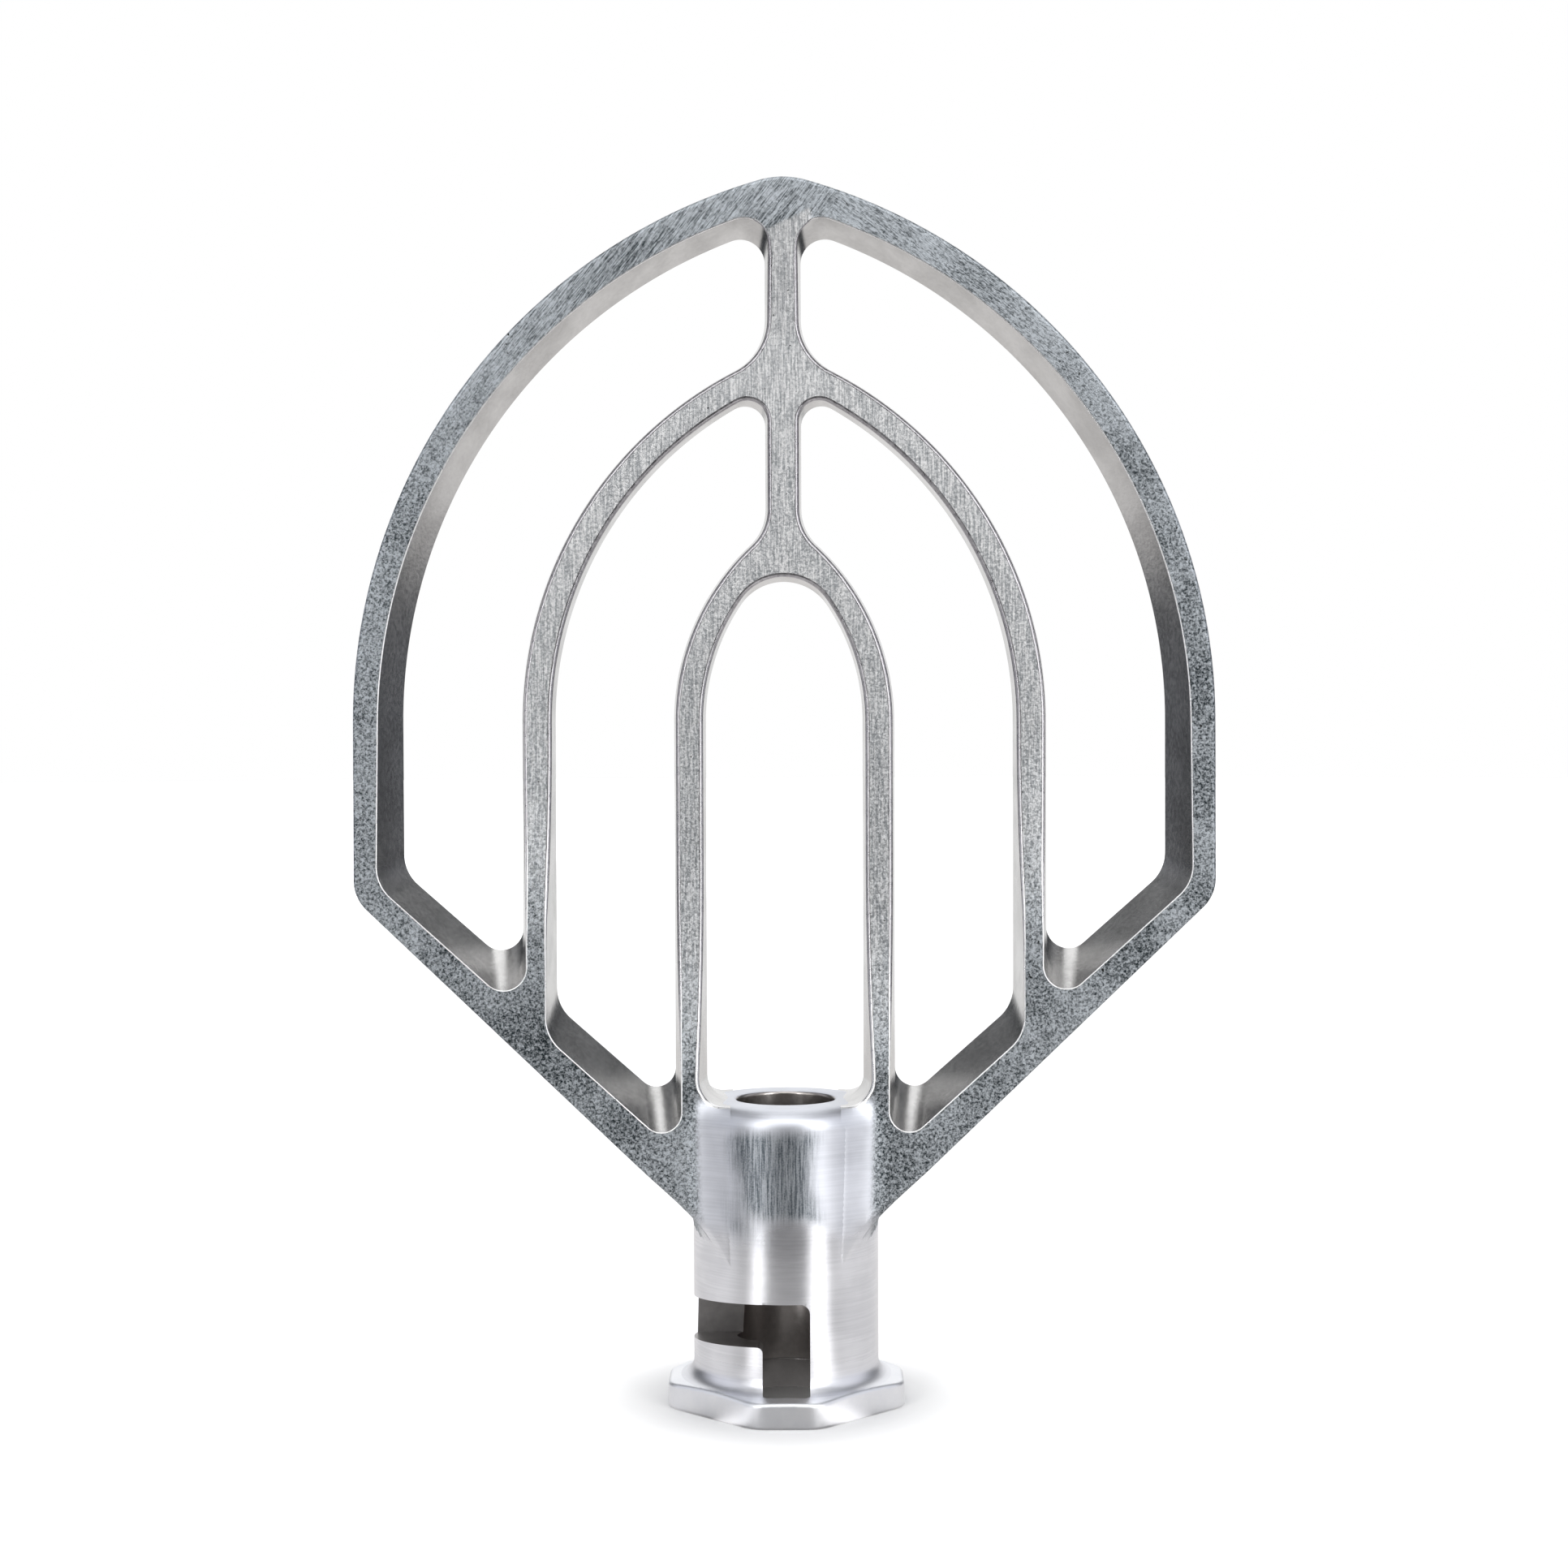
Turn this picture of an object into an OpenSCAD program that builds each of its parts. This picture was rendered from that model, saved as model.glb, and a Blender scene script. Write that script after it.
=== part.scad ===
// Flat beater paddle with a bayonet hub, standing on the hub's flange.
// Z runs up the shaft axis from the flange face to the crown of the blade.
// X runs across the blade and Y through its thickness. All sizes are in millimetres.

/* [Blade outline] */
// Half width over the outside of the rim
outer_w = 104.7; // [103:0.1:108]
// Half width to the inner ridge of the rim
rim_w = 93.8; // [92:0.1:95]
// Height at which the straight sides turn into the arches
arch_z = 168; // [165:1:172]
// How far each arch's centre lies beyond the centre line
arch_x = 32; // [31:0.5:33]

/* [Ribs] */
// Half width over the outside of the middle ribs
mid_out = 64.5; // [64:0.1:66]
// Half width between the middle ribs
mid_in = 56.3; // [55:0.1:57]
// Half width over the outside of the inner ribs
inner_out = 27.1; // [26.5:0.1:28]
// Half width between the inner ribs
inner_in = 19.3; // [19:0.1:19.8]
// Width of the centre spine
spine_w = 8.8; // [8:0.1:9.6]
// Half thickness of the ribs, arches and spine
rib_half = 5; // [4.5:0.1:5.5]

/* [Arms] */
// Slope of the arms' outer edge, in degrees
arm_slope = 43.6; // [43:0.1:44]
// Height of the arms' outer edge where it is 60 out
arm_z = 82.9; // [81:0.1:84]
// Slope of the arms' inner ridge, in degrees
ridge_slope = 41.5; // [41:0.1:42]
// Height of the arms' inner ridge where it is 60 out
ridge_z = 101.1; // [100:0.1:102]

/* [Thickness] */
// Half thickness of the blade beside the hub
root_half = 13.5; // [13:0.1:14]
// Half thickness of the blade at the crown
tip_half = 7.2; // [7:0.1:8]
// Inward draft of the rim's inner wall, per millimetre of depth
rim_draft = 0.46; // [0.4:0.01:0.48]
// Inward draft of the ribs' walls, per millimetre of depth
rib_draft = 0.14; // [0.1:0.01:0.16]

/* [Hub] */
// Outer radius of the barrel
hub_r = 22.8; // [22.5:0.1:23]
// Radius of the shaft bore
bore_r = 12.1; // [11.5:0.1:12.5]
// Height of the barrel's top face
hub_top = 75; // [74:0.5:76]
// Rounding of the barrel's top edge
shoulder_r = 5; // [4:0.1:5.5]

/* [Flange] */
// Half distance across the flange's side flats
flange_x = 29; // [28.5:0.1:29.5]
// Half distance across the flange's front and back flats
flange_y = 29.3; // [29:0.1:29.8]
// Half distance across the flange's diagonal flats
flange_diagonal = 26.4; // [26:0.1:27]
// Thickness of the flange at its edge
flange_edge = 6.2; // [5.8:0.1:6.5]
// Thickness of the flange against the barrel
flange_root = 7.4; // [7.2:0.1:7.8]
// Rounding between the flange and the barrel
flange_fillet = 4; // [3:0.1:4.5]

/* [Bayonet slot] */
// Width of the slot for the shaft's cross pin
slot_w = 11.4; // [10.5:0.1:12]
// Height of the slot's top edge at the front of the barrel
slot_top = 28.4; // [28:0.1:30]
// Height of the locking leg
lock_h = 10.3; // [9:0.1:10.5]
// How far the locking leg reaches behind the shaft axis
lock_back = 6.6; // [5:0.1:7.5]
// Downward tilt of the locking leg towards the back, in degrees
lock_tilt = 5.3; // [4:0.1:6]
// Reach of the keyway inside the flange, from the shaft axis
keyway_r = 25.2; // [24:0.1:26]

/* [Hidden] */

$fn = 96;
eps = 0.01;
// How far a cutter or a profile runs past the solid that it works on
overrun = 1;
far = 400;
// Distance from the centre line at which the arms' two heights are given
gauge_x = 60;
// Straight pieces along a rounding, along a window's arch and along the blade's arch
fillet_steps = 8;
window_steps = 22;
outline_steps = 40;
// Rounding radii in the plan of the blade
elbow_r = 10;
crown_r = 21;
arm_fillet = 10;
crown_fillet = 6;
spine_top_fillet = 5;
outer_cross_fillet = 14;
inner_cross_fillet = 12;
outer_notch_r = 5.5;
middle_notch_r = 4.8;
window_corner_r = 10;
inner_top_r = 12.7;
inner_corner_r = 6;
slot_corner_r = 2.4;
flange_corner_r = 8;
bore_chamfer = 0.6;
// Depth over which the window cutters are lofted, beyond every face
cut_half = 16;
// Heights at which one member ends and the next begins
inner_root_z = 83;
middle_root_z = 118;
elbow_z = 136;
crown_z = 278;
crown_w = 14;
spine_foot_z = 196;
spine_ramp_z = 262;
spine_cut = spine_w / 2 + 0.8;
// Distances and radii that lie inside the windows and tell the members apart
notch_step_1 = 33;
notch_step_2 = 72;
rib_gap_x = 42;
outer_gap_x = 80;
outer_gap_r = 111;
inner_gap_r = 74;
// Height over which a rib thins from its root
rib_blend = 50;
blend_steps = 8;
root_z = 45;
// Height at which the two outer arches would meet
crown_peak = arch_z + sqrt(pow(outer_w + arch_x, 2) - pow(arch_x, 2));
// Fall of the flange's top from the barrel to its edge, and its angle
flange_fall = (flange_root - flange_edge) / (flange_x - hub_r);
flange_tilt = atan(flange_fall);

ALUMINIUM = [0.70, 0.72, 0.74];
SANDED = [0.60, 0.63, 0.66];
SATIN = [0.76, 0.78, 0.80];

// Points along an arc, from angle a to angle b
function arc(centre, r, a, b, steps = fillet_steps) = [
    for (i = [0 : steps]) centre + r * [cos(a + (b - a) * i / steps), sin(a + (b - a) * i / steps)]
];

function mirrored(points) = [for (i = [len(points) - 1 : -1 : 0]) [-points[i].x, points[i].y]];

// Height of the arms' outer edge and of their inner ridge, at a distance from the centre line
function arm_edge(x) = arm_z + tan(arm_slope) * (x - gauge_x);
function ridge_edge(x, draft) = ridge_z + tan(ridge_slope) * (x - gauge_x) - draft / cos(ridge_slope);

// Height of an arch of radius r at a distance from the centre line
function arch_height(x, r) = arch_z + sqrt(r * r - pow(x + arch_x, 2));

// Half thickness of the rim at a height
function blade_half(z) = root_half + (tip_half - root_half) * (z - root_z) / (crown_peak - root_z);

// Where a window meets the spine: the roundings above and below the straight stretch
function spine_edge(r_out, r_in, top_r, cross_r, draft) =
    let (
        xs = spine_w / 2 - rib_draft * draft,
        top = [xs + top_r, arch_height(xs + top_r, r_out - top_r)],
        cross = [xs + cross_r, arch_height(xs + cross_r, r_in + cross_r)],
        top_angle = atan2(top.y - arch_z, top.x + arch_x),
        cross_angle = atan2(cross.y - arch_z, cross.x + arch_x)
    )
    concat(
        arc(top, top_r, top_angle, 180),
        arc(cross, cross_r, 180, 180 + cross_angle)
    );

// Angle of a point as seen from the arch's centre
function arch_angle(p) = atan2(p.y - arch_z, p.x + arch_x);

// Each window's sizes: inner wall, outer wall, outer wall's draft, and its three rounding radii
OUTER_WINDOW = [mid_out, rim_w, rim_draft, outer_notch_r, crown_fillet, outer_cross_fillet];
MIDDLE_WINDOW = [inner_out, mid_in, rib_draft, middle_notch_r, spine_top_fillet, inner_cross_fillet];

function window_spine_edge(w, draft) =
    spine_edge(w[1] + w[2] * draft + arch_x, w[0] - rib_draft * draft + arch_x, w[4], w[5], draft);

// A window between two arches, above the arm: the draft widens it away from the middle plane
function side_window(w, draft) =
    let (
        xi = w[0] - rib_draft * draft,
        xo = w[1] + w[2] * draft,
        notch_r = w[3],
        low = rim_draft * draft,
        centre = [-arch_x, arch_z],
        notch = [xi + notch_r, ridge_edge(xi + notch_r, low) + notch_r / cos(ridge_slope)],
        corner_x = xo - window_corner_r,
        corner = [corner_x, ridge_edge(corner_x, low) + window_corner_r / cos(ridge_slope)],
        edge = window_spine_edge(w, draft)
    )
    concat(
        arc(notch, notch_r, 180, 270 + ridge_slope),
        arc(corner, window_corner_r, ridge_slope - 90, 0),
        arc(centre, xo + arch_x, 0, arch_angle(edge[0]), window_steps),
        edge,
        arc(centre, xi + arch_x, arch_angle(edge[len(edge) - 1]), 0, window_steps)
    );

// The middle window, above the barrel
function inner_window(draft) =
    let (
        x = inner_in + rib_draft * draft,
        r = x + arch_x,
        crown = [0, arch_height(0, r - inner_top_r)],
        angle = arch_angle(crown),
        half = concat(
            arc([x - inner_corner_r, hub_top + inner_corner_r], inner_corner_r, -90, 0),
            arc([-arch_x, arch_z], r, 0, angle, window_steps),
            arc(crown, inner_top_r, angle, 90)
        )
    )
    concat(half, mirrored([for (i = [0 : len(half) - 2]) half[i]]));

// Outside edge of the blade, down to the barrel
function blade_outline() =
    let (
        elbow_x = outer_w - elbow_r,
        elbow = [elbow_x, arm_edge(elbow_x) + elbow_r / cos(arm_slope)],
        foot_x = hub_r + arm_fillet,
        foot = [foot_x, arm_edge(foot_x) - arm_fillet / cos(arm_slope)],
        arch_r = outer_w + arch_x,
        crown = [0, arch_height(0, arch_r - crown_r)],
        crown_angle = arch_angle(crown),
        half = concat(
            [[bore_r, foot.y]],
            arc(foot, arm_fillet, 180, 90 + arm_slope),
            arc(elbow, elbow_r, arm_slope - 90, 0),
            arc([-arch_x, arch_z], arch_r, 0, crown_angle, outline_steps),
            arc(crown, crown_r, crown_angle, 90)
        )
    )
    concat(half, mirrored([for (i = [0 : len(half) - 2]) half[i]]));

// Solid whose sections at the middle plane and at both faces are the given outlines
module loft(face_outline, ridge_outline) {
    n = len(ridge_outline);
    rings = [face_outline, ridge_outline, face_outline];
    points = [for (j = [0 : 2]) for (p = rings[j]) [p.x, (j - 1) * cut_half, p.y]];
    sides = [
        for (j = [0 : 1]) for (i = [0 : n - 1]) for (t = [0, 1])
            let (a = j * n + i, b = j * n + (i + 1) % n)
            t == 0 ? [a, b, b + n] : [a, b + n, a + n]
    ];
    front = [for (i = [n - 1 : -1 : 0]) i];
    back = [for (i = [0 : n - 1]) 2 * n + i];
    polyhedron(points, concat([front], sides, [back]));
}

// Plan shape given thickness through the blade
module plate(half) {
    rotate([90, 0, 0])
        linear_extrude(height = 2 * half, center = true) children();
}

// Side shape, given as half thickness against height, carried across the blade
module thickness_profile(steps) {
    front = [for (s = steps) [-s[1], s[0]]];
    back = [for (i = [len(steps) - 1 : -1 : 0]) [steps[i][1], steps[i][0]]];
    rotate([90, 0, 90])
        linear_extrude(height = far, center = true) polygon(concat(front, back));
}

module rim_thickness() {
    low = root_z - overrun;
    high = crown_peak + overrun;
    thickness_profile([[low, blade_half(low)], [high, blade_half(high)]]);
}

// A rib is as thick as the rim at its root and thins in a curve to its own thickness
module rib_thickness(root) {
    curve = [
        for (i = [0 : blend_steps])
            let (t = 1 - i / blend_steps)
            [root + rib_blend * (1 - t), rib_half + (blade_half(root) - rib_half) * t * t]
    ];
    thickness_profile(concat(curve, [[crown_peak, rib_half]]));
}

module spine_thickness() {
    curve = [
        for (i = [0 : blend_steps])
            let (t = i / blend_steps)
            [spine_ramp_z + (crown_z - spine_ramp_z) * t, rib_half + (blade_half(crown_z) - rib_half) * t * t]
    ];
    thickness_profile(concat([[spine_foot_z - overrun, rib_half]], curve));
}

module outer_window() {
    loft(side_window(OUTER_WINDOW, cut_half), side_window(OUTER_WINDOW, 0));
}

module middle_window() {
    loft(side_window(MIDDLE_WINDOW, cut_half), side_window(MIDDLE_WINDOW, 0));
}

// The part of a window beside the spine only
module spine_gap(w) {
    loft(window_spine_edge(w, cut_half), window_spine_edge(w, 0));
}

module centre_window() {
    loft(inner_window(cut_half), inner_window(0));
}

// The whole blade at full depth, cut back to one stretch of its plan
module blade_stretch() {
    intersection() {
        plate(cut_half - overrun) polygon(blade_outline());
        plate(cut_half) children();
    }
}

module band(x0, x1, z0, z1) {
    translate([x0, z0]) square([x1 - x0, z1 - z0]);
}

module above_arch(r) {
    difference() {
        band(crown_w, far / 2, arch_z, far);
        translate([-arch_x, arch_z]) circle(r);
    }
}

module below_arch(r) {
    intersection() {
        band(spine_cut, far / 2, arch_z, far);
        translate([-arch_x, arch_z]) circle(r);
    }
}

// Outside of the barrel, with its rounded shoulder and the rounding onto the flange's sloping top
module barrel_form() {
    fillet = [
        hub_r + flange_fillet,
        flange_root - flange_fall * flange_fillet + flange_fillet / cos(flange_tilt)
    ];
    rotate_extrude()
        polygon(concat(
            [[0, flange_root], [hub_r, flange_root]],
            arc(fillet, flange_fillet, 270 - flange_tilt, 180),
            arc([hub_r - shoulder_r, hub_top - shoulder_r], shoulder_r, 0, 90),
            [[0, hub_top]]
        ));
}

module bore() {
    translate([0, 0, -overrun]) cylinder(r = bore_r, h = hub_top + 2 * overrun);
    translate([0, 0, hub_top - bore_chamfer])
        cylinder(r1 = bore_r, r2 = bore_r + bore_chamfer + eps, h = bore_chamfer + eps);
}

// Entry leg of the slot, through the front wall of the barrel
module entry_leg() {
    outline = concat(
        [[-slot_w / 2, 0], [slot_w / 2, 0]],
        arc([slot_w / 2 - slot_corner_r, slot_top - slot_corner_r], slot_corner_r, 0, 90),
        [[-slot_w / 2, slot_top]]
    );
    translate([0, -hub_r, 0])
        rotate([90, 0, 0])
            linear_extrude(height = 2 * hub_r, center = true) polygon(outline);
}

// Locking leg of the slot, round the left of the barrel to just behind the shaft axis
module locking_leg() {
    depth = 2 * hub_r;
    translate([0, -hub_r, slot_top])
        rotate([-lock_tilt, 0, 0])
            translate([-depth, -depth, -lock_h])
                cube([depth, depth + hub_r + lock_back, lock_h]);
}

module hub_barrel() {
    color(SATIN)
        difference() {
            barrel_form();
            bore();
            entry_leg();
            locking_leg();
        }
}

// Eight flats with rounded corners
module flange_plan() {
    x = flange_x - flange_corner_r;
    y = flange_y - flange_corner_r;
    corner_sum = (flange_diagonal - flange_corner_r) * sqrt(2);
    quarter = concat(
        arc([x, corner_sum - x], flange_corner_r, 0, 45),
        arc([corner_sum - y, y], flange_corner_r, 45, 90)
    );
    back = concat(quarter, mirrored(quarter));
    polygon(concat(back, [for (i = [len(back) - 1 : -1 : 0]) [back[i].x, -back[i].y]]));
}

module hub_flange() {
    reach = 2 * flange_x;
    color(SATIN)
        difference() {
            intersection() {
                linear_extrude(height = flange_root) flange_plan();
                rotate_extrude()
                    polygon([
                        [0, 0], [reach, 0], [reach, flange_root - flange_fall * (reach - hub_r)],
                        [hub_r, flange_root], [0, flange_root]
                    ]);
            }
            translate([0, 0, -overrun]) cylinder(r = bore_r, h = flange_root + 2 * overrun);
            translate([-slot_w / 2, -keyway_r, -overrun])
                cube([slot_w, keyway_r, flange_root + 2 * overrun]);
        }
}

module arm() {
    color(SANDED)
        difference() {
            intersection() {
                blade_stretch()
                    polygon([
                        [0, 0], [far, 0], [far, elbow_z], [notch_step_2, elbow_z],
                        [notch_step_2, middle_root_z], [notch_step_1, middle_root_z],
                        [notch_step_1, inner_root_z], [0, inner_root_z]
                    ]);
                rim_thickness();
            }
            outer_window();
            middle_window();
            centre_window();
            barrel_form();
        }
}

module side() {
    color(SANDED)
        difference() {
            intersection() {
                blade_stretch() band(outer_gap_x, far, elbow_z, arch_z);
                rim_thickness();
            }
            outer_window();
        }
}

module bow() {
    color(SANDED)
        difference() {
            intersection() {
                blade_stretch() above_arch(outer_gap_r);
                rim_thickness();
            }
            outer_window();
        }
}

module crown() {
    color(SANDED)
        difference() {
            intersection() {
                blade_stretch() band(-crown_w, crown_w, crown_z, far);
                rim_thickness();
            }
            outer_window();
            mirror([1, 0, 0]) outer_window();
        }
}

module spine() {
    color(ALUMINIUM)
        difference() {
            intersection() {
                blade_stretch() band(-spine_cut, spine_cut, spine_foot_z, crown_z);
                spine_thickness();
            }
            for (side = [0, 1], w = [OUTER_WINDOW, MIDDLE_WINDOW])
                mirror([side, 0, 0]) spine_gap(w);
            centre_window();
        }
}

module middle_rib() {
    color(ALUMINIUM)
        difference() {
            intersection() {
                blade_stretch() band(rib_gap_x, notch_step_2, middle_root_z, arch_z);
                rib_thickness(middle_root_z);
            }
            outer_window();
            middle_window();
        }
}

module middle_arch() {
    color(ALUMINIUM)
        difference() {
            intersection() {
                blade_stretch()
                    difference() {
                        below_arch(outer_gap_r);
                        below_arch(inner_gap_r);
                    }
                rib_thickness(middle_root_z);
            }
            outer_window();
            middle_window();
        }
}

module inner_rib() {
    color(ALUMINIUM)
        difference() {
            intersection() {
                blade_stretch() band(0, notch_step_1, inner_root_z, arch_z);
                rib_thickness(inner_root_z);
            }
            middle_window();
            centre_window();
        }
}

module inner_arch() {
    color(ALUMINIUM)
        difference() {
            intersection() {
                blade_stretch() below_arch(inner_gap_r);
                rib_thickness(inner_root_z);
            }
            middle_window();
            centre_window();
        }
}

module left() {
    mirror([1, 0, 0]) children();
}

hub_barrel();
hub_flange();
arm();  // arm_right
left() arm();  // arm_left
side();  // side_right
left() side();  // side_left
bow();  // bow_right
left() bow();  // bow_left
crown();
spine();
middle_rib();  // middle_rib_right
left() middle_rib();  // middle_rib_left
middle_arch();  // middle_arch_right
left() middle_arch();  // middle_arch_left
inner_rib();  // inner_rib_right
left() inner_rib();  // inner_rib_left
inner_arch();  // inner_arch_right
left() inner_arch();  // inner_arch_left
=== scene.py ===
import math

import bmesh
import bpy
import numpy as np
from mathutils import Matrix, Vector, kdtree
from mathutils.geometry import delaunay_2d_cdt


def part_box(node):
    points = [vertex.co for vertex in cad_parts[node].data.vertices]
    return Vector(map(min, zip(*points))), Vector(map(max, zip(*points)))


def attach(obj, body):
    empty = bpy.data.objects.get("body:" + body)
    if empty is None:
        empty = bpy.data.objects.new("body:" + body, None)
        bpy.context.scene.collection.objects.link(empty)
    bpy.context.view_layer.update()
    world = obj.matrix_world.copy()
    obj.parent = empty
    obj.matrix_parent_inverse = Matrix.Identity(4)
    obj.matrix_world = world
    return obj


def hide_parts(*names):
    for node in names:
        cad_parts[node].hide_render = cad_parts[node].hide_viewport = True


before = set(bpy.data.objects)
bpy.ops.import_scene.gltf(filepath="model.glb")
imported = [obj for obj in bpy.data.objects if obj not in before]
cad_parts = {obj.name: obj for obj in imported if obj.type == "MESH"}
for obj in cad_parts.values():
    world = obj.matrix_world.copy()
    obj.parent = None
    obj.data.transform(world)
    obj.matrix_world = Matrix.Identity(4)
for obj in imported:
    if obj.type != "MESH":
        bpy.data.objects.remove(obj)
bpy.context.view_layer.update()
CAD_BOXES = {name: [np.array(c) * 1000 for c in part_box(name)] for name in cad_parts}
MM = 0.001

# ---------------------------------------------------------------- plan of the blade, in millimetres
# The same sizes as the CAD part: x across, z up, y through the thickness.
OUTER_W, RIM_W, ARCH_Z, ARCH_X = 104.7, 93.8, 168.0, 32.0
MID_OUT, MID_IN, INNER_OUT, INNER_IN = 64.5, 56.3, 27.1, 19.3
SPINE_W, RIB_HALF = 8.8, 5.0
ARM_SLOPE, ARM_Z, RIDGE_SLOPE, RIDGE_Z = 43.6, 82.9, 41.5, 101.1
ROOT_HALF, TIP_HALF, ROOT_Z, CROWN_PEAK = 13.5, 7.2, 45.0, 300.9
RIM_DRAFT, RIB_DRAFT = 0.46, 0.14
HUB_R, BORE_R, HUB_TOP, SHOULDER_R = 22.8, 12.1, 75.0, 5.0
MID_ROOT, INNER_ROOT, RIB_BLEND = 118.0, 83.0, 50.0
CROWN_Z, CROWN_W, SPINE_CUT, ELBOW_Z = 278.0, 14.0, 5.2, 136.0
HUB_CUT, HUB_BLEND = 13.3, 5.5
# Distance from the centre line at which the arms' heights are given
GAUGE_X = 60.0
# Radii of the windows' corners and of the blade's outside corners
OUTER_NOTCH_R, MIDDLE_NOTCH_R, WINDOW_CORNER_R, FLOOR_CORNER_R, INNER_CROWN_R = 5.5, 4.8, 10.0, 6.0, 12.7
CROWN_FILLET, SPINE_TOP_FILLET, OUTER_CROSS_FILLET, INNER_CROSS_FILLET = 6.0, 5.0, 14.0, 12.0
ARM_FILLET, ELBOW_R, CROWN_R = 10.0, 10.0, 21.0
# The centre window's floor lies this far below the barrel's top
FLOOR_SINK = 0.06
# Limits between the rim and the middle ribs, and between those and the inner ones: upright, then round
RIM_FROM, MIDDLE_FROM = (80, 111), (42, 74)
# Where the rim's face ends above the spine: lowest point, and the two ends of the line
LINE_X, LINE_Z, LINE_LEFT, LINE_RIGHT = -3.8, 287.6, -6.6, 6.0


def cosd(a):
    return math.cos(math.radians(a))


def tand(a):
    return math.tan(math.radians(a))


def arc(c, r, a, b, n):
    t = np.radians(np.linspace(a, b, n + 1))
    return np.stack([c[0] + r * np.cos(t), c[1] + r * np.sin(t)], 1)


def joined(a, b, pieces):
    """Points inside a straight stretch from a to b."""
    return a + (b - a) * np.linspace(0, 1, pieces + 1)[1:-1, None]


def chain(parts, closed=True):
    """Arcs joined up, each with the number of straight pieces to the next one.

    The number is 0 where the next one starts on the same point.
    """
    out = []
    for i, (points, gap) in enumerate(parts):
        last = i == len(parts) - 1
        out.append(points if gap or (last and not closed) else points[:-1])
        if gap and not (last and not closed):
            out.append(joined(points[-1], parts[(i + 1) % len(parts)][0][0], gap))
    return np.concatenate(out)


def mirrored(points):
    return points[::-1] * [-1, 1]


def arm_edge(x):
    return ARM_Z + tand(ARM_SLOPE) * (x - GAUGE_X)


def ridge_edge(x, draft):
    return RIDGE_Z + tand(RIDGE_SLOPE) * (x - GAUGE_X) - draft / cosd(RIDGE_SLOPE)


def arch_height(x, r):
    return ARCH_Z + math.sqrt(r * r - (x + ARCH_X) ** 2)


def side_window(xi, xo, out_draft, notch_r, top_r, cross_r, y):
    """Window between two arches above the right arm, at a depth y from the middle plane."""
    xi, xo, low = xi - RIB_DRAFT * y, xo + out_draft * y, RIM_DRAFT * y
    xs = SPINE_W / 2 - RIB_DRAFT * y
    top = (xs + top_r, arch_height(xs + top_r, xo + ARCH_X - top_r))
    cross = (xs + cross_r, arch_height(xs + cross_r, xi + ARCH_X + cross_r))
    top_a = math.degrees(math.atan2(top[1] - ARCH_Z, top[0] + ARCH_X))
    cross_a = math.degrees(math.atan2(cross[1] - ARCH_Z, cross[0] + ARCH_X))
    notch = (xi + notch_r, ridge_edge(xi + notch_r, low) + notch_r / cosd(RIDGE_SLOPE))
    corner_x = xo - WINDOW_CORNER_R
    corner = (corner_x, ridge_edge(corner_x, low) + WINDOW_CORNER_R / cosd(RIDGE_SLOPE))
    centre = (-ARCH_X, ARCH_Z)
    return chain([
        (arc(notch, notch_r, 180, 270 + RIDGE_SLOPE, 16), 14),
        (arc(corner, WINDOW_CORNER_R, RIDGE_SLOPE - 90, 0, 12), 12),
        (arc(centre, xo + ARCH_X, 0, top_a, 80), 0),
        (arc(top, top_r, top_a, 180, 14), 5),
        (arc(cross, cross_r, 180, 180 + cross_a, 14), 0),
        (arc(centre, xi + ARCH_X, cross_a, 0, 64), 22),
    ])


def outer_window(y):
    return side_window(MID_OUT, RIM_W, RIM_DRAFT, OUTER_NOTCH_R, CROWN_FILLET, OUTER_CROSS_FILLET, y)


def middle_window(y):
    return side_window(INNER_OUT, MID_IN, RIB_DRAFT, MIDDLE_NOTCH_R, SPINE_TOP_FILLET, INNER_CROSS_FILLET, y)


def inner_window(y):
    x = INNER_IN + RIB_DRAFT * y
    r = x + ARCH_X
    crown = (0, arch_height(0, r - INNER_CROWN_R))
    angle = math.degrees(math.atan2(crown[1] - ARCH_Z, ARCH_X))
    half = chain([
        (arc((x - FLOOR_CORNER_R, HUB_TOP + FLOOR_CORNER_R - FLOOR_SINK), FLOOR_CORNER_R, -90, 0, 12), 34),
        (arc((-ARCH_X, ARCH_Z), r, 0, angle, 36), 0),
        (arc(crown, INNER_CROWN_R, angle, 90, 16), 0),
    ], closed=False)
    left = mirrored(half)[1:]
    return np.concatenate([half, left, joined(left[-1], half[0], 8)])


def blade_outline(y):
    """Outside edge of the blade at a depth y, down to just within the barrel."""
    limb = math.sqrt(HUB_R ** 2 - y ** 2) - 0.03
    foot_x, elbow_x = limb + ARM_FILLET, OUTER_W - ELBOW_R
    foot = (foot_x, arm_edge(foot_x) - ARM_FILLET / cosd(ARM_SLOPE))
    elbow = (elbow_x, arm_edge(elbow_x) + ELBOW_R / cosd(ARM_SLOPE))
    crown = (0, arch_height(0, OUTER_W + ARCH_X - CROWN_R))
    angle = math.degrees(math.atan2(crown[1] - ARCH_Z, ARCH_X))
    half = chain([
        (arc(foot, ARM_FILLET, 180, 90 + ARM_SLOPE, 16), 32),
        (arc(elbow, ELBOW_R, ARM_SLOPE - 90, 0, 12), 12),
        (arc((-ARCH_X, ARCH_Z), OUTER_W + ARCH_X, 0, angle, 110), 0),
        (arc(crown, CROWN_R, angle, 90, 10), 0),
    ], closed=False)
    half[-1, 0] = 0
    left = mirrored(half)[1:]
    return np.concatenate([half, left, joined(left[-1], half[0], 12)])


# ---------------------------------------------------------------- thickness of the blade
def smooth(a, b, x):
    t = np.clip((x - a) / (b - a), 0, 1)
    return t * t * (3 - 2 * t)


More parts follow.
